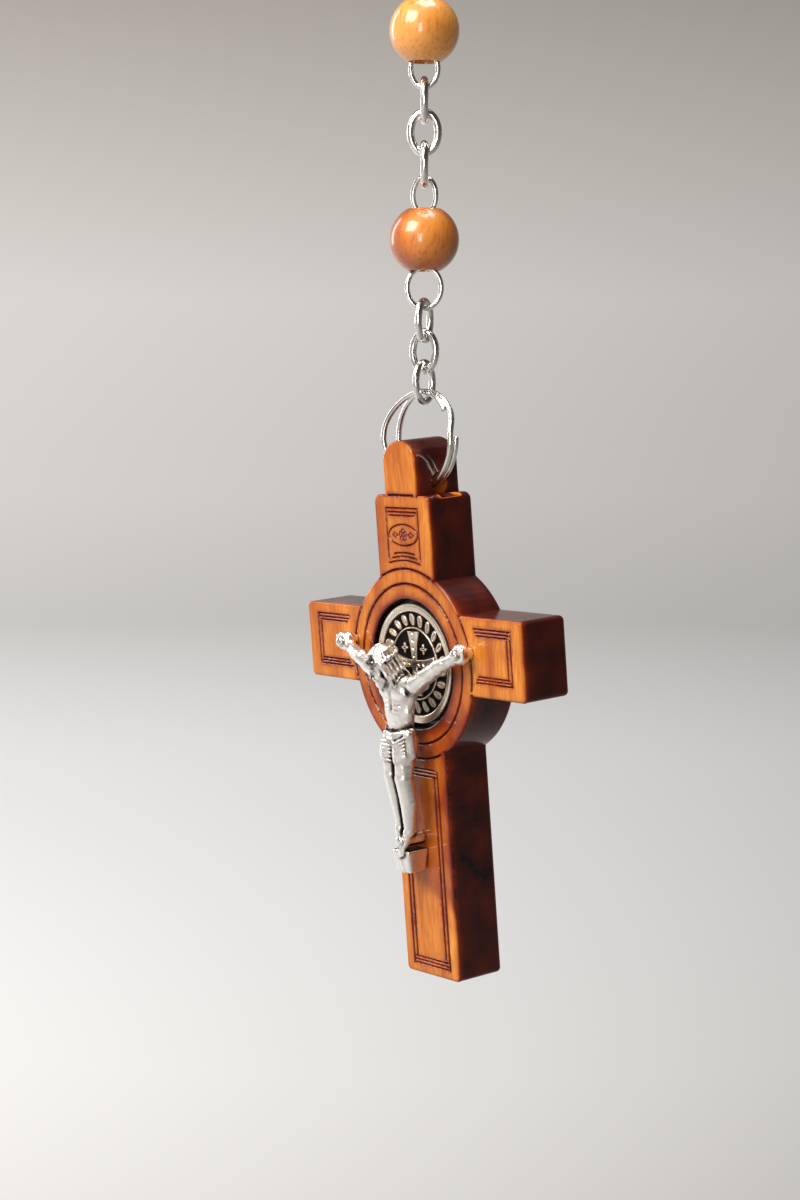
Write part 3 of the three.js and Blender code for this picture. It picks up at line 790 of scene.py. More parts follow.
mottle = add_node(tree, "ShaderNodeMath", {0: cloud.outputs["Fac"], 1: 0.6, 2: -0.3}, operation="MULTIPLY_ADD")
uneven = add_node(tree, "ShaderNodeMath", {0: burn, 1: mottle.outputs["Value"]}, operation="ADD")
browned = add_node(tree, "ShaderNodeValToRGB", {"Fac": uneven.outputs["Value"]}, stops=[
    (0.1, "#a4500f"), (0.4, "#8a380a"), (0.62, "#72210a"), (0.8, "#4a1208"), (0.98, "#2a0906"),
    (1.0, "#120403")])
cover = add_node(tree, "ShaderNodeMapRange", {"Value": uneven.outputs["Value"], "From Min": 0.02,
                                              "From Max": 0.5})
colour = add_node(tree, "ShaderNodeMix", {"Factor": cover.outputs["Result"], "A": wood.outputs[2],
                                          "B": browned.outputs["Color"]}, data_type="RGBA")
fine = add_node(tree, "ShaderNodeBump", {"Height": fibres.outputs["Fac"], "Strength": 0.2, "Distance": 0.00005})
surface = add_node(tree, "ShaderNodeBsdfPrincipled", {
    "Base Color": colour.outputs[2], "Roughness": 0.45, "IOR": 1.5, "Normal": fine.outputs["Normal"],
    "Coat Weight": 0.7, "Coat Roughness": 0.08, "Coat IOR": 1.42, "Specular IOR Level": 0.1})
add_node(tree, "ShaderNodeOutputMaterial", {"Surface": surface.outputs["BSDF"]})

# %% [markdown]
# ## The ring's hole
# The hole is drilled after the board is coloured, so its inside is raw pale wood and its rims stay
# dark. Here a solid rod with flared ends is taken away from the board by a boolean cut, and the
# scorching is then set again round the hole.

# %% Drill and hang the cross


def made_solid(mesh, weld=0.0):
    """Welds points that coincide, and turns every face outwards."""
    shell = bmesh.new()
    shell.from_mesh(mesh)
    if weld:
        bmesh.ops.remove_doubles(shell, verts=shell.verts, dist=weld)
    bmesh.ops.recalc_face_normals(shell, faces=shell.faces)
    print(mesh.name, "open edges:", sum(not e.is_manifold for e in shell.edges))
    shell.to_mesh(mesh)
    shell.free()


board = bpy.data.meshes.new("board")
board.from_pydata((all_points * MM).tolist(), [], all_faces)
layer = board.attributes.new("scorch_and_shadow", "FLOAT", "POINT")
layer.data.foreach_set("value", all_burn_and_shadow.astype(np.float32))
made_solid(board, weld=4e-6)
flare = [(0.02, 5.0), (HOLE_RADIUS + 0.9, 5.0), (HOLE_RADIUS + 0.16, LUG_HALF + 0.1),
         (HOLE_RADIUS + 0.04, LUG_HALF - 0.1), (HOLE_RADIUS, LUG_HALF - 0.35)]
rod_points, rod_faces = turned([(r, -h) for r, h in flare] + flare[::-1], 48)
rod_points = np.column_stack([rod_points[:, 2], rod_points[:, 1] + HOLE_BACK, rod_points[:, 0] + HOLE_HEIGHT])
drill_mesh = bpy.data.meshes.new("drill")
drill_mesh.from_pydata((rod_points * MM).tolist(), [], rod_faces)
made_solid(drill_mesh)
board_object = bpy.data.objects.new("board", board)
drill_object = bpy.data.objects.new("drill", drill_mesh)
for made in (board_object, drill_object):
    bpy.context.scene.collection.objects.link(made)
cut = board_object.modifiers.new("hole", "BOOLEAN")
cut.operation, cut.solver, cut.object = "DIFFERENCE", "EXACT", drill_object
bpy.context.view_layer.update()
drilled = bpy.data.meshes.new_from_object(board_object.evaluated_get(bpy.context.evaluated_depsgraph_get()))
for made in (board_object, drill_object):
    bpy.data.objects.remove(made)
points = np.empty(len(drilled.vertices) * 3)
drilled.vertices.foreach_get("co", points)
points = points.reshape(-1, 3) / MM
burn = np.empty(len(points), np.float32)
drilled.attributes["scorch_and_shadow"].data.foreach_get("value", burn)
from_axis = np.hypot(points[:, 1] - HOLE_BACK, points[:, 2] - HOLE_HEIGHT)
in_hole = (from_axis < HOLE_RADIUS + 0.07) & (np.abs(points[:, 0]) < LUG_HALF - 0.3)
burn[in_hole] = 0.22
burn[(from_axis < HOLE_RADIUS + 0.3) & ~in_hole] = 0.8
print("hole points", int(in_hole.sum()))
points, faces = moved((points, [list(p.vertices) for p in drilled.polygons]), hang)
cross_piece = add_piece("cross_board", points, faces, "cross", "cross_wood", ["cross_body"], 40,
                        {"scorch_and_shadow": burn})
cross_piece.data.materials.append(cross_wood)

# %% [markdown]
# ## Antiqued cast silver
# The casting is plated bright, then darkened and rubbed back: the blackening stays in the hollows
# and the high places shine. The skin keeps the slight grain of its mould.

# %% Cast silver
cast_silver, tree = new_material("silver_plated_zinc_casting")
place = add_node(tree, "ShaderNodeTexCoord").outputs["Object"]
deep = add_node(tree, "ShaderNodeAttribute", attribute_name="hollow", attribute_type="GEOMETRY").outputs["Fac"]
mould = add_node(tree, "ShaderNodeTexNoise", {"Vector": place, "Scale": across(0.7), "Detail": 4.0})
fine_grain = add_node(tree, "ShaderNodeTexNoise", {"Vector": place, "Scale": across(0.15), "Detail": 3.0})
stain = add_node(tree, "ShaderNodeMath", {0: mould.outputs["Fac"], 1: 0.5, 2: -0.25}, operation="MULTIPLY_ADD")
uneven = add_node(tree, "ShaderNodeMath", {0: deep, 1: stain.outputs["Value"]}, operation="ADD")
tone = add_node(tree, "ShaderNodeValToRGB", {"Fac": uneven.outputs["Value"]}, stops=[
    (0.0, "#fffdfa"), (0.25, "#ece7e2"), (0.5, "#8d8680"), (0.8, "#302c2a")])
gloss = add_node(tree, "ShaderNodeMapRange", {"Value": uneven.outputs["Value"], "To Min": 0.3, "To Max": 0.45})
soft = add_node(tree, "ShaderNodeBump", {"Height": mould.outputs["Fac"], "Strength": 0.4, "Distance": 0.0001})
fine = add_node(tree, "ShaderNodeBump", {"Height": fine_grain.outputs["Fac"], "Strength": 0.2,
                                         "Distance": 0.00002, "Normal": soft.outputs["Normal"]})
surface = add_node(tree, "ShaderNodeBsdfPrincipled", {
    "Base Color": tone.outputs["Color"], "Metallic": 1.0, "Roughness": gloss.outputs["Result"],
    "Normal": fine.outputs["Normal"]})
add_node(tree, "ShaderNodeOutputMaterial", {"Surface": surface.outputs["BSDF"]})

# %% [markdown]
# ## Soft shapes for the cast figure
# The figure is cast in a zinc alloy from a modelled master, so its forms run into one another. It is
# built as a distance field on a fine grid: each limb or muscle is a rounded shape, and a soft
# minimum melts neighbours together. Points are (across, proud of the wood, height on the cross).

# %% A grid of distances
GRID_STEP = 0.115
GRID_LOW = np.array([-12.75, -0.15, -44.9])
GRID_SIZE = [223, 50, 258]
field = np.full(GRID_SIZE, 3.0, np.float32)
axes = [GRID_LOW[k] + GRID_STEP * np.arange(GRID_SIZE[k]) for k in range(3)]


def patch(low, high):
    """The part of the grid between two corners, as slices and as points."""
    cuts = []
    for k in range(3):
        start = int(np.clip((low[k] - GRID_LOW[k]) / GRID_STEP, 0, GRID_SIZE[k] - 1))
        end = int(np.clip((high[k] - GRID_LOW[k]) / GRID_STEP + 2, 1, GRID_SIZE[k]))
        cuts.append(slice(start, end))
    points = np.stack(np.meshgrid(*[axes[k][cuts[k]] for k in range(3)], indexing="ij"), -1)
    return tuple(cuts), points


def melt(low, high, distance, soft, carve=False):
    """Adds a shape to the field, or carves it away, with a soft seam."""
    reach = soft + 0.5
    cuts, points = patch(np.asarray(low) - reach, np.asarray(high) + reach)
    shape = distance(points)
    here = field[cuts]
    if carve:
        h = np.clip(0.5 - 0.5 * (here + shape) / soft, 0, 1)
        field[cuts] = here + (-shape - here) * h + soft * h * (1 - h)
    else:
        h = np.clip(0.5 + 0.5 * (here - shape) / soft, 0, 1)
        field[cuts] = here + (shape - here) * h - soft * h * (1 - h)


def rod(a, b, ra, rb, soft=0.3, carve=False):
    """A rounded rod whose thickness changes from a to b."""
    a, b = np.asarray(a, float), np.asarray(b, float)
    along = b - a

    def distance(points):
        t = np.clip(((points - a) @ along) / (along @ along), 0, 1)
        return np.linalg.norm(points - a - t[..., None] * along, axis=-1) - (ra + (rb - ra) * t)

    thick = max(ra, rb)
    melt(np.minimum(a, b) - thick, np.maximum(a, b) + thick, distance, soft, carve)


def egg(centre, radii, soft=0.3, carve=False, turn=None):
    """An ellipsoid, turned by a matrix if one is given."""
    centre, radii = np.asarray(centre, float), np.asarray(radii, float)

    def distance(points):
        local = points - centre
        if turn is not None:
            local = local @ turn
        k0 = np.linalg.norm(local / radii, axis=-1)
        k1 = np.linalg.norm(local / radii ** 2, axis=-1)
        return k0 * (k0 - 1) / np.maximum(k1, 1e-6)

    reach = radii.max() if turn is not None else radii
    melt(centre - reach, centre + reach, distance, soft, carve)


def chain(points, radii, soft=0.3, carve=False):
    for i in range(len(points) - 1):
        rod(points[i], points[i + 1], radii[i], radii[i + 1], soft, carve)


# %% [markdown]
# ## Body and arms
# The arms rise from the shoulders to the nails, so the chest is drawn up and the ribs and belly
# show. Each muscle is a flattened egg melted into the trunk.

# %% Trunk
egg((-0.1, 2.05, -22.9), (2.85, 1.3, 2.3), 0.2)
egg((-1.3, 2.9, -22.35), (1.35, 0.55, 0.85), 0.35)
egg((1.1, 2.9, -22.55), (1.35, 0.55, 0.85), 0.35)
egg((0.0, 2.2, -24.8), (2.35, 1.25, 1.7), 0.5)
egg((0.1, 2.2, -26.3), (2.1, 1.15, 2.0), 0.5)
chain([(-3.3, 2.0, -20.85), (-0.2, 2.1, -21.3), (3.0, 2.0, -21.4)], [0.95, 0.9, 0.95], 0.5)
for side in (-1, 1):
    for rib in range(4):
        top = -23.45 - 0.52 * rib
        chain([(side * 0.45, 3.3, top), (side * 1.2, 3.12, top - 0.14), (side * 1.95, 2.45, top + 0.1)],
              [0.15, 0.2, 0.15], 0.12)
    for muscle in range(3):
        egg((side * 0.48, 3.12, -25.35 - 0.62 * muscle), (0.42, 0.24, 0.28), 0.15)
rod((-0.15, 3.5, -22.2), (0.0, 3.42, -24.4), 0.1, 0.1, 0.3, carve=True)
egg((0.0, 3.3, -26.9), (0.13, 0.2, 0.16), 0.1, carve=True)

# %% Arms and hands
for side, drop in ((-1, 0.0), (1, 0.55)):
    shoulder = (side * 3.2, 2.1, -20.9 - drop)
    elbow = (side * 7.3, 1.85, -19.05 - 0.3 * drop)
    wrist = (side * 9.75, 1.5, -18.15)
    palm = (side * 10.95, 1.25, -17.5)
    egg(shoulder, (1.1, 0.95, 1.0), 0.35)
    chain([shoulder, elbow, wrist], [1.02, 0.86, 0.68], 0.25)
    egg(((shoulder[0] + elbow[0]) / 2, 2.3, (shoulder[2] + elbow[2]) / 2), (1.3, 0.55, 0.7), 0.3)
    egg((side * 8.1, 2.0, -18.8), (1.1, 0.6, 0.62), 0.3)
    rod((side * 4.2, 1.5, -21.0 - drop), (side * 2.4, 1.7, -22.4), 0.5, 0.5, 0.5)
    rod(wrist, palm, 0.66, 0.8, 0.2)
    egg(palm, (1.25, 0.85, 1.2), 0.25)
    for finger in range(4):
        spread = -0.6 + 0.4 * finger
        rod((palm[0] + side * 0.5, 1.6, palm[2] + spread), (palm[0] + side * 1.0, 1.75, palm[2] + 0.15 + spread * 0.8),
            0.26, 0.22, 0.25)
    rod((palm[0] - side * 0.1, 1.6, palm[2] + 0.6), (palm[0] + side * 0.3, 1.85, palm[2] + 0.95), 0.24, 0.2, 0.25)
    egg((palm[0], 2.2, palm[2]), (0.62, 0.5, 0.62), 0.2, carve=True)
    rod((palm[0], 0.05, palm[2]), (palm[0], 1.2, palm[2]), 0.8, 0.7, 0.15)

# %% [markdown]
# ## The cloth, the legs and the feet
# A cloth is wound round the hips and knotted at one side, where its end hangs down. The legs lie
# side by side, the knees come forward, and one foot crosses the other over a small block.

# %% Cloth
egg((0.0, 2.25, -28.4), (2.55, 1.4, 1.7), 0.3)
rod((-1.25, 2.35, -28.1), (-1.5, 2.65, -29.5), 1.4, 1.45, 0.2)
rod((1.25, 2.5, -28.1), (1.3, 2.85, -29.6), 1.45, 1.5, 0.2)
chain([(-2.55, 2.2, -26.9), (-1.3, 3.35, -27.2), (0.3, 3.6, -27.35), (1.8, 3.4, -27.1), (2.7, 2.6, -26.8)],
      [0.28, 0.3, 0.3, 0.34, 0.35], 0.25)
chain([(-2.5, 2.5, -27.4), (-1.2, 3.55, -27.75), (0.6, 3.8, -27.8), (2.3, 3.3, -27.2)],
      [0.2, 0.22, 0.24, 0.25], 0.22)
egg((2.75, 3.25, -27.1), (0.62, 0.6, 0.55), 0.12)
for fold in range(4):
    start = (2.55 + 0.12 * fold, 3.35 - 0.12 * fold, -27.4)
    rod(start, (2.1 + 0.2 * fold, 3.3 - 0.2 * fold, -29.9 + 0.2 * (fold % 2)), 0.26, 0.3, 0.25)
for fold in range(6):
    level = -27.9 - 0.44 * fold
    chain([(-2.4, 2.9, level + 0.35), (-1.4, 3.95, level - 0.15), (-0.3, 3.6, level - 0.3)],
          [0.13, 0.2, 0.13], 0.1)
    chain([(0.1, 3.7, level - 0.1), (1.3, 4.25, level - 0.25), (2.5, 3.7, level + 0.45)], [0.13, 0.2, 0.15], 0.1)
rod((-0.1, 4.2, -28.8), (-0.15, 4.3, -31.2), 0.2, 0.45, 0.2, carve=True)
rod((-0.2, 4.0, -31.0), (-0.55, 3.3, -38.4), 0.45, 0.25, 0.2, carve=True)

# %% Legs, feet and block
for hip, knee, calf, ankle, thick in (
        ((-1.5, 2.4, -29.2), (-1.6, 2.75, -32.2), (-1.6, 2.2, -34.9), (-1.55, 1.9, -38.5), 1.2),
        ((1.35, 2.65, -29.2), (1.25, 3.2, -32.4), (1.15, 2.6, -35.2), (0.4, 2.2, -38.7), 1.3)):
    chain([hip, knee, calf, ankle], [0.92 * thick, 0.8 * thick, 0.8 * thick, 0.5 * thick], 0.12)
    egg((knee[0], knee[1] + 0.55, knee[2]), (0.5, 0.4, 0.62), 0.2)
    egg((knee[0] + 0.1, knee[1] + 0.35, knee[2] + 1.6), (0.7, 0.6, 1.4), 0.4)
    rod((knee[0], knee[1] + 0.45, knee[2] - 0.9), (ankle[0], ankle[1] + 0.25, ankle[2] + 0.5), 0.22, 0.2, 0.3)
rod((-1.65, 2.1, -38.6), (-1.4, 2.2, -41.3), 0.55, 0.55, 0.2)
rod((0.35, 2.3, -38.8), (-0.35, 2.85, -41.2), 0.56, 0.52, 0.15)
egg((0.35, 2.3, -39.0), (0.68, 0.66, 0.55), 0.2)
egg((-1.65, 2.1, -38.9), (0.66, 0.6, 0.55), 0.2)
for toe in range(5):
    across_foot = -0.62 + 0.24 * toe
    size = 0.2 - 0.018 * toe
    rod((-0.3 + across_foot * 0.9, 3.0, -41.2), (-0.35 + across_foot, 3.1, -41.95 + 0.08 * toe), size, size, 0.07)
    rod((-1.5 + across_foot * 0.7, 2.2, -41.2), (-1.55 + across_foot * 0.75, 2.35, -41.85), size, size, 0.07)
egg((-0.35, 3.35, -40.0), (0.45, 0.3, 0.45), 0.15, carve=True)


def block(points):
    height = (points[..., 2] + 42.55) / 1.4
    half = np.stack([1.5 + 0.16 * height, 1.35 + 0.2 * height, np.full_like(height, 1.35)], -1)
    outside = np.abs(points - np.array([-0.85, 1.45, -42.55])) - (half - 0.3)
    return (np.linalg.norm(np.maximum(outside, 0), axis=-1) + np.minimum(outside.max(-1), 0) - 0.3) * 0.9


melt((-2.6, 0, -44.2), (0.9, 3.1, -41.0), block, 0.12)
rod((-0.85, 2.95, -41.6), (-0.85, 2.5, -43.9), 0.08, 0.08, 0.35)
rod((-0.35, 0.05, -40.0), (-0.35, 2.0, -40.0), 0.8, 0.8, 0.2)

# %% [markdown]
# ## The bowed head
# The head is made upright in its own axes, with the eyes halfway up and the nose and mouth
# below them in the usual thirds, and is then bowed and turned. Hair falls to the shoulders, and a
# band of twisted twigs lies round it.

# %% Head
bow = (Matrix.Rotation(math.radians(8), 3, "Y") @ Matrix.Rotation(math.radians(18), 3, "Z")
       @ Matrix.Rotation(math.radians(-24), 3, "X"))
head_turn = np.array(bow)
head_middle = np.array([-1.1, 3.3, -19.1])
HEAD = 1.24


def head(point):
    return tuple(head_turn @ np.asarray(point, float) * HEAD + head_middle)


def head_egg(centre, radii, soft=0.15, carve=False):
    egg(head(centre), np.array(radii) * HEAD, soft, carve, head_turn)


rod((-0.7, 2.7, -20.0), (-0.2, 2.2, -21.6), 0.75, 0.9, 0.3)
head_egg((0, -0.15, 0.35), (1.3, 1.45, 1.4))
head_egg((0, 0.35, -0.55), (1.02, 1.05, 1.4), 0.3)
head_egg((0, 0.85, -1.65), (0.66, 0.6, 0.62), 0.3)
for side in (-1, 1):
    head_egg((side * 0.62, 0.85, -0.6), (0.4, 0.4, 0.4), 0.25)
    head_egg((side * 0.42, 1.5, -0.18), (0.27, 0.3, 0.2), 0.12, carve=True)
    head_egg((side * 0.42, 1.22, -0.2), (0.24, 0.16, 0.13), 0.06)
    chain([head((side * 0.5, 0.7, 1.1)), head((side * 1.2, 0.45, 0.4)), head((side * 1.32, -0.05, -0.9)),
           head((side * 1.35, -0.5, -2.3))], [0.35, 0.42, 0.45, 0.35], 0.15)
    for lock in range(5):
        back = 0.6 - 0.42 * lock
        chain([head((side * 1.15, back, 0.5)), head((side * (1.6 - 0.05 * lock), back - 0.15, -0.7)),
               head((side * 1.55, back - 0.5, -2.2 + 0.1 * lock))], [0.2, 0.24, 0.2], 0.16)
chain([head((-0.62, 1.2, 0.06)), head((0, 1.3, 0.0)), head((0.62, 1.2, 0.06))], [0.12, 0.14, 0.12], 0.12)
rod(head((0, 1.3, -0.05)), head((0, 1.62, -0.72)), 0.1, 0.19, 0.1)
rod(head((-0.3, 1.3, -1.1)), head((0.3, 1.3, -1.1)), 0.1, 0.1, 0.12)
rod(head((-0.26, 1.44, -1.12)), head((0.26, 1.44, -1.12)), 0.04, 0.04, 0.06, carve=True)
for strand in range(7):
    aside = -0.45 + 0.15 * strand
    rod(head((aside, 1.25, -1.35)), head((aside * 0.7, 1.2, -2.2)), 0.1, 0.07, 0.06)
for strand in range(26):
    turn_angle = 2 * math.pi * strand / 26
    side_x, side_y = math.cos(turn_angle), math.sin(turn_angle)
    chain([head((side_x * 0.35, side_y * 0.35 - 0.2, 1.75)), head((side_x * 0.95, side_y * 1.0 - 0.2, 1.35)),
           head((side_x * 1.32, side_y * 1.42 - 0.15, 0.7))], [0.13, 0.16, 0.16], 0.12)
for twig in range(2):
    ring_points = []
    for k in range(37):
        a = 2 * math.pi * k / 36
        wave = math.sin(9 * a + math.pi * twig)
        ring_points.append(head(((1.42 + 0.07 * wave) * math.cos(a), (1.52 + 0.07 * wave) * math.sin(a) - 0.15,
                                 0.72 + 0.14 * math.cos(9 * a + math.pi * twig))))
    chain(ring_points, [0.13] * 37, 0.04)

# %% [markdown]
# ## From distances to a skin
# Wherever the field changes sign between two grid points, the skin passes between them. One
# vertex is placed in each crossed cell, at the average of its crossings, and each crossing makes
# one four-sided face.

# %% Skin of the figure


def skin(values, low, step):
    solid = values < 0
    cells = np.array(values.shape) - 1
    total = np.zeros((np.prod(cells), 3))
    count = np.zeros(np.prod(cells))
    found = []
    for axis in range(3):
        ahead_solid = np.roll(solid, -1, axis)
        change = solid != ahead_solid
        trim = [slice(1, -1)] * 3
        kept = np.zeros_like(change)
        kept[tuple(trim)] = change[tuple(trim)]
        index = np.argwhere(kept)
        here = values[tuple(index.T)]
        step_index = index.copy()
        step_index[:, axis] += 1
        there = values[tuple(step_index.T)]
        spot = index.astype(float)
        spot[:, axis] += here / (here - there)
        others = [k for k in range(3) if k != axis]
        corners = []
        for u, v in ((-1, -1), (0, -1), (0, 0), (-1, 0)):
            cell = index.copy()
            cell[:, others[0]] += u
            cell[:, others[1]] += v
            flat_index = np.ravel_multi_index(tuple(cell.T), tuple(cells))
            corners.append(flat_index)
            for k in range(3):
                total[:, k] += np.bincount(flat_index, spot[:, k], len(count))
            count += np.bincount(flat_index, minlength=len(count))
        quads = np.stack(corners, 1)
        flip = solid[tuple(index.T)]
        if axis == 1:
            flip = ~flip
        quads[~flip] = quads[~flip][:, ::-1]
        found.append(quads)
    used = np.flatnonzero(count)
    number = np.full(len(count), -1)
    number[used] = np.arange(len(used))
    points = total[used] / count[used][:, None] * step + low
    return points, number[np.vstack(found)]


def sampled(values, points):
    """The field between its grid points."""
    spot = (points - GRID_LOW) / GRID_STEP
    base = np.clip(np.floor(spot).astype(int), 0, np.array(values.shape) - 2)
    t = np.clip(spot - base, 0, 1)
    result = np.zeros(len(points))
    for corner in range(8):
        offset = np.array([corner & 1, corner >> 1 & 1, corner >> 2 & 1])
        weight = np.prod(np.where(offset, t, 1 - t), axis=1)
        result += weight * values[tuple((base + offset).T)]
    return result


field = np.maximum(field, -(axes[1][None, :, None] - 0.04)).astype(np.float32)
figure_points, figure_faces = skin(field, GRID_LOW, GRID_STEP)
gradient = np.stack([sampled(field, figure_points + np.eye(3)[k] * 0.08)
                     - sampled(field, figure_points - np.eye(3)[k] * 0.08) for k in range(3)], 1)
outward = gradient / np.maximum(np.linalg.norm(gradient, axis=1), 1e-6)[:, None]
near = sampled(field, figure_points + outward * 0.4)
far = sampled(field, figure_points + outward * 1.0)
hollow = np.maximum(np.clip((0.39 - near) / 0.26, 0, 1), np.clip((0.92 - far) / 0.75, 0, 1))
figure_points += outward * (np.sin(figure_points[:, 2:] * 9 + figure_points[:, :1] * 5) * 0.006)
local = np.column_stack([figure_points[:, 0], FRONT - figure_points[:, 1], figure_points[:, 2]])
print("figure", len(local), "points")
points, faces = moved((local, figure_faces.tolist()), hang)
figure_piece = add_piece("corpus_casting", points, faces, "cross", "cast_silver", ["corpus"], 60,
                         {"hollow": hollow})
figure_piece.data.materials.append(cast_silver)

# %% [markdown]
# ## The struck medal
# A die squeezes the relief up out of a silvered blank: a broad rim, a band of leaves, a ring, and a
# flared cross with a rosette in each quarter. The ground between is blackened so that the relief
# reads. The face is one sheet of points in rings, and each point's height comes from the design.

# %% Medal
MEDAL_RADIUS, MEDAL_THICKNESS, MEDAL_SINK, RELIEF = 7.0, 1.2, 0.3, 0.32


def rise(distance, soft=0.07):
    """1 inside a shape, 0 outside, with a sloped shoulder."""
    t = np.clip(0.5 - distance / (2 * soft), 0, 1)
    return t * t * (3 - 2 * t)


def relief(x, z):
    radius = np.hypot(x, z)
    angle = np.arctan2(z, x)
    height = rise(6.1 - radius, 0.09) * (0.86 + 0.14 * rise(radius - 6.75, 0.08))
    height = np.maximum(height, rise(np.abs(radius - 4.2) - 0.1) * 0.75)
    leaves = 22
    sector = (angle * leaves / (2 * np.pi)) % 1 - 0.5
    across_leaf = sector * 2 * np.pi / leaves * 5.15
    along_leaf = radius - 5.15
    lean_leaf = across_leaf - 0.25 * along_leaf
    blade = np.hypot(lean_leaf / 0.42, along_leaf / 0.72) - 1
    vein = rise(np.abs(lean_leaf) - 0.05, 0.04) * rise(np.abs(along_leaf) - 0.5)
    height = np.maximum(height, rise(blade * 0.45) * 0.75 - 0.45 * vein)
    dots = np.hypot(np.abs(across_leaf) - 0.93, along_leaf) - 0.16
    height = np.maximum(height, rise(dots) * 0.6)
    for u, v in ((x, z), (z, x)):
        bar = np.maximum(np.abs(u) - (0.42 + 0.045 * v * v), np.abs(v) - 3.75)
        height = np.maximum(height, rise(bar) * 0.85)
        lozenge = np.abs(u) + np.abs((np.abs(v) + 0.45) % 0.9 - 0.45) - 0.2
        height -= rise(lozenge, 0.05) * rise(bar + 0.15) * 0.5 * (np.abs(v) > 0.5)
    quarter_x, quarter_z = np.abs(x) - 1.75, np.abs(z) - 1.75
    petal_angle = np.arctan2(quarter_z, quarter_x)
    rosette = np.hypot(quarter_x, quarter_z) - 0.62 * (0.72 + 0.28 * np.cos(4 * petal_angle))
    height = np.maximum(height, rise(rosette) * 0.7)
    height -= rise(np.hypot(quarter_x, quarter_z) - 0.14, 0.05) * 0.5
    return np.clip(height, 0, 1)


def medal_shape():
    sides = 360
    angles = np.linspace(0, 2 * np.pi, sides, endpoint=False)
    radii = np.concatenate([np.arange(0.06, 6.9, 0.065), [6.9]])
    grid_r, grid_a = np.meshgrid(radii, angles, indexing="ij")
    x, z = grid_r * np.cos(grid_a), grid_r * np.sin(grid_a)
    height = relief(x, z)
    face_y = FRONT + MEDAL_SINK + RELIEF * (1 - height)
    rows = [np.column_stack([x[i], face_y[i], z[i] + DISC_HEIGHT]) for i in range(len(radii))]
    dark = [1 - height[i] for i in range(len(radii))]
    edge = MEDAL_RADIUS
    for radius, deep in ((edge - 0.03, 0.04), (edge, 0.12), (edge, 1.05), (edge - 0.03, 1.15),
                         (edge - 0.15, MEDAL_THICKNESS), (3.0, MEDAL_THICKNESS), (0.5, MEDAL_THICKNESS)):
        rows.append(np.column_stack([np.cos(angles) * radius, np.full(sides, FRONT + MEDAL_SINK + deep),
                                     np.sin(angles) * radius + DISC_HEIGHT]))
        dark.append(np.full(sides, 0.4))
    faces = [[a, d, c, b] for a, b, c, d in tube_faces(len(rows), sides)]
    faces.append(list(range(sides)))
    faces.append([(len(rows) - 1) * sides + j for j in range(sides)][::-1])
    return np.vstack(rows), faces, np.concatenate(dark)


medal_points, medal_faces, medal_dark = medal_shape()
points, faces = moved((medal_points, medal_faces), hang)
medal_piece = add_piece("medal_struck", points, faces, "cross", "medal_silver", ["medal"], 60,
                        {"hollow": medal_dark})

# %% [markdown]
# The medal's ground is nearly black with oxide, and its relief is polished by rubbing.

# %% Oxidised silver
medal_silver, tree = new_material("oxidised_silver_medal")
place = add_node(tree, "ShaderNodeTexCoord").outputs["Object"]
deep = add_node(tree, "ShaderNodeAttribute", attribute_name="hollow", attribute_type="GEOMETRY").outputs["Fac"]
patina = add_node(tree, "ShaderNodeTexNoise", {"Vector": place, "Scale": across(0.6), "Detail": 5.0})
stain = add_node(tree, "ShaderNodeMath", {0: patina.outputs["Fac"], 1: 0.5, 2: -0.25}, operation="MULTIPLY_ADD")
uneven = add_node(tree, "ShaderNodeMath", {0: deep, 1: stain.outputs["Value"]}, operation="ADD")
tone = add_node(tree, "ShaderNodeValToRGB", {"Fac": uneven.outputs["Value"]}, stops=[
    (0.1, "#e9dccc"), (0.35, "#c9baa8"), (0.6, "#5c514a"), (0.9, "#1d1a19")])
gloss = add_node(tree, "ShaderNodeMapRange", {"Value": uneven.outputs["Value"], "To Min": 0.24, "To Max": 0.6})
soft = add_node(tree, "ShaderNodeBump", {"Height": patina.outputs["Fac"], "Strength": 0.4, "Distance": 0.00005})
surface = add_node(tree, "ShaderNodeBsdfPrincipled", {
    "Base Color": tone.outputs["Color"], "Metallic": 1.0, "Roughness": gloss.outputs["Result"],
    "Normal": soft.outputs["Normal"]})
add_node(tree, "ShaderNodeOutputMaterial", {"Surface": surface.outputs["BSDF"]})
medal_piece.data.materials.append(medal_silver)

# %% [markdown]
# ## Three small nails
# Each nail has a round shank and a low domed head. It goes through the casting into the wood.

# %% Nails
NAIL_RADIUS, NAIL_HEAD, NAIL_GRIP = 0.36, 0.62, 2.2
NAILS = {"hand_nail_left": (-10.95, -17.5, 2.2), "hand_nail_right": (10.95, -17.5, 2.2),
         "foot_nail": (-0.35, -40.0, 3.2)}


def nail(x, z, reach):
    head_z = NAIL_GRIP + reach
    line = [(0.02, 0.0), (NAIL_RADIUS * 0.4, 0.1), (NAIL_RADIUS, 0.7), (NAIL_RADIUS, head_z - 0.05),
            (NAIL_HEAD - 0.04, head_z), (NAIL_HEAD, head_z + 0.06)]
    line += [(NAIL_HEAD * math.cos(a), head_z + 0.1 + 0.3 * math.sin(a)) for a in np.linspace(0, 1.5, 9)]
    points, faces = turned(line, 40)
    across_x, up_z, out = points[:, 0], points[:, 1], points[:, 2]
    return np.column_stack([x + across_x, FRONT + NAIL_GRIP - out, z + up_z]), faces


for name, (x, z, reach) in NAILS.items():
    points, faces = moved(nail(x, z, reach), hang)
    piece = add_piece(f"{name}_domed", points, faces, "cross", "plated_wire", [name], 30)
    piece.data.materials.append(silver_wire)

# %% [markdown]
# ## The stage
# A pale floor lies well below the cross and rises all round as one smooth bowl, so no edge shows.
# The bowl glows a little, as a sweep does when it has its own lamps. It darkens with height, and
# away from the lamps, so that the cross's dark sides have something dark to reflect.

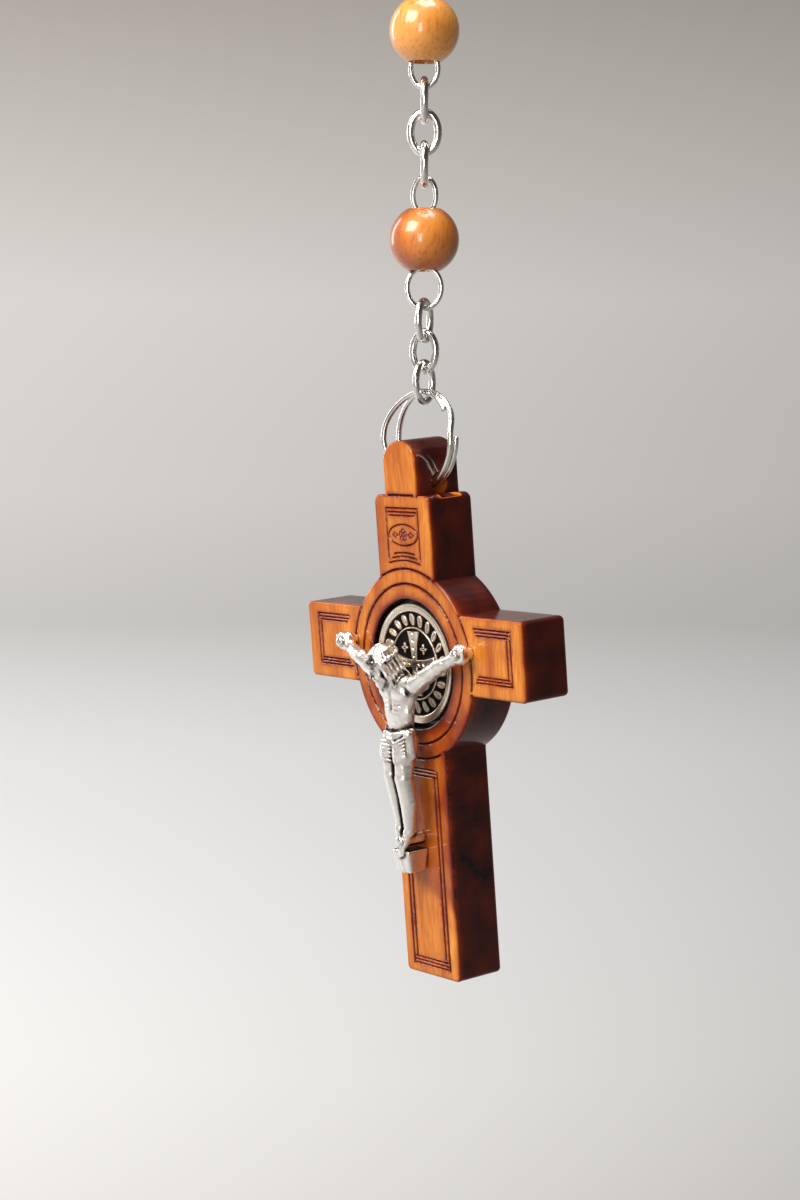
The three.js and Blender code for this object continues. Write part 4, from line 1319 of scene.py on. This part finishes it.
# %% Stage
sweep_paint, tree = new_material("pale_painted_sweep")
place = add_node(tree, "ShaderNodeTexCoord").outputs["Object"]
split = add_node(tree, "ShaderNodeSeparateXYZ", {"Vector": place})
height = add_node(tree, "ShaderNodeMapRange", {"Value": split.outputs["Z"], "From Min": -0.2, "From Max": 0.75})
tone = add_node(tree, "ShaderNodeValToRGB", {"Fac": height.outputs["Result"]}, stops=[
    (0.0, "#e8e7e7"), (0.04, "#c8c6c4"), (0.1, "#d6d3d1"), (0.22, "#dedad6"), (0.36, "#c3beb8"), (0.5, "#a19b93"),
    (1.0, "#6e675f")])
heading = add_node(tree, "ShaderNodeVectorMath", {0: place}, operation="NORMALIZE")
shades = []
for toward, low, high, dark in (((-0.85, -0.52, 0.0), -0.4, 0.62, 0.2), ((-0.8, 0.6, 0.0), -0.2, 0.75, 0.5)):
    facing = add_node(tree, "ShaderNodeVectorMath", {0: heading.outputs["Vector"], 1: toward},
                      operation="DOT_PRODUCT")
    shades.append(add_node(tree, "ShaderNodeMapRange", {"Value": facing.outputs["Value"], "From Min": low,
                                                        "From Max": high, "To Min": dark, "To Max": 1.0}))
shade = add_node(tree, "ShaderNodeMath", {0: shades[0].outputs["Result"], 1: shades[1].outputs["Result"]},
                 operation="MULTIPLY")
glow = add_node(tree, "ShaderNodeVectorMath", {0: tone.outputs["Color"], "Scale": shade.outputs["Value"]},
                operation="SCALE")
surface = add_node(tree, "ShaderNodeBsdfPrincipled", {
    "Base Color": linear("#6f6d6b"), "Roughness": 0.95, "Emission Color": glow.outputs["Vector"],
    "Emission Strength": 0.93})
add_node(tree, "ShaderNodeOutputMaterial", {"Surface": surface.outputs["BSDF"]})
FLOOR = -200.0
profile = [(0.01, FLOOR), (250, FLOOR), (500, FLOOR), (700, FLOOR)]
profile += [(700 + 900 * math.sin(a), FLOOR + 900 * (1 - math.cos(a)))
            for a in np.linspace(0.05, math.pi / 2, 24)]
profile += [(1600, FLOOR + 2500)]
angles = np.linspace(0, 2 * np.pi, 128, endpoint=False)
bowl_points = [(r * math.cos(a) * MM, r * math.sin(a) * MM, h * MM) for r, h in profile for a in angles]
bowl_faces = tube_faces(len(profile), 128)
bowl_mesh = bpy.data.meshes.new("sweep")
bowl_mesh.from_pydata(bowl_points, [], bowl_faces)
bowl_mesh.shade_smooth()
bowl = bpy.data.objects.new("sweep", bowl_mesh)
bowl_mesh.materials.append(sweep_paint)
bpy.context.scene.collection.objects.link(bowl)
bowl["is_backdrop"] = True

# %% [markdown]
# ## The light
# A large softbox stands in front of the carved face and above it. A smaller one overhead wakes the
# tops of the wires and the upper edges. Two narrow strips, one each side of the camera, draw the
# long highlights down the cast figure.

# %% Lamps


def softbox(name, place, target, size, watts, colour="#ffffff"):
    light = bpy.data.lights.new(name, "AREA")
    light.shape = "RECTANGLE"
    light.size, light.size_y = size
    light.energy = watts
    light.color = linear(colour)[:3]
    lamp = bpy.data.objects.new(name, light)
    lamp.location = place
    lamp.rotation_euler = (Vector(target) - Vector(place)).to_track_quat("-Z", "Y").to_euler()
    bpy.context.scene.collection.objects.link(lamp)


softbox("key", (0.02, -0.55, 0.4), (0, 0, -0.07), (0.4, 0.4), 7.4, "#fff6e8")
softbox("overhead", (0.0, 0.05, 0.5), (0, 0, -0.07), (0.3, 0.3), 2.6)
softbox("right", (0.4, -0.5, 0.0), (0, 0, -0.07), (0.12, 0.3), 1.3, "#fff8f0")
softbox("left", (-0.5, -0.12, 0.1), (0, 0, -0.07), (0.1, 0.4), 0.8, "#ffffff")
world = bpy.data.worlds.new("studio")
bpy.context.scene.world = world
world.use_nodes = True
world.node_tree.nodes["Background"].inputs["Color"].default_value = linear("#c8c8c8")
world.node_tree.nodes["Background"].inputs["Strength"].default_value = 0.3

# %% Finish
low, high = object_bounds()
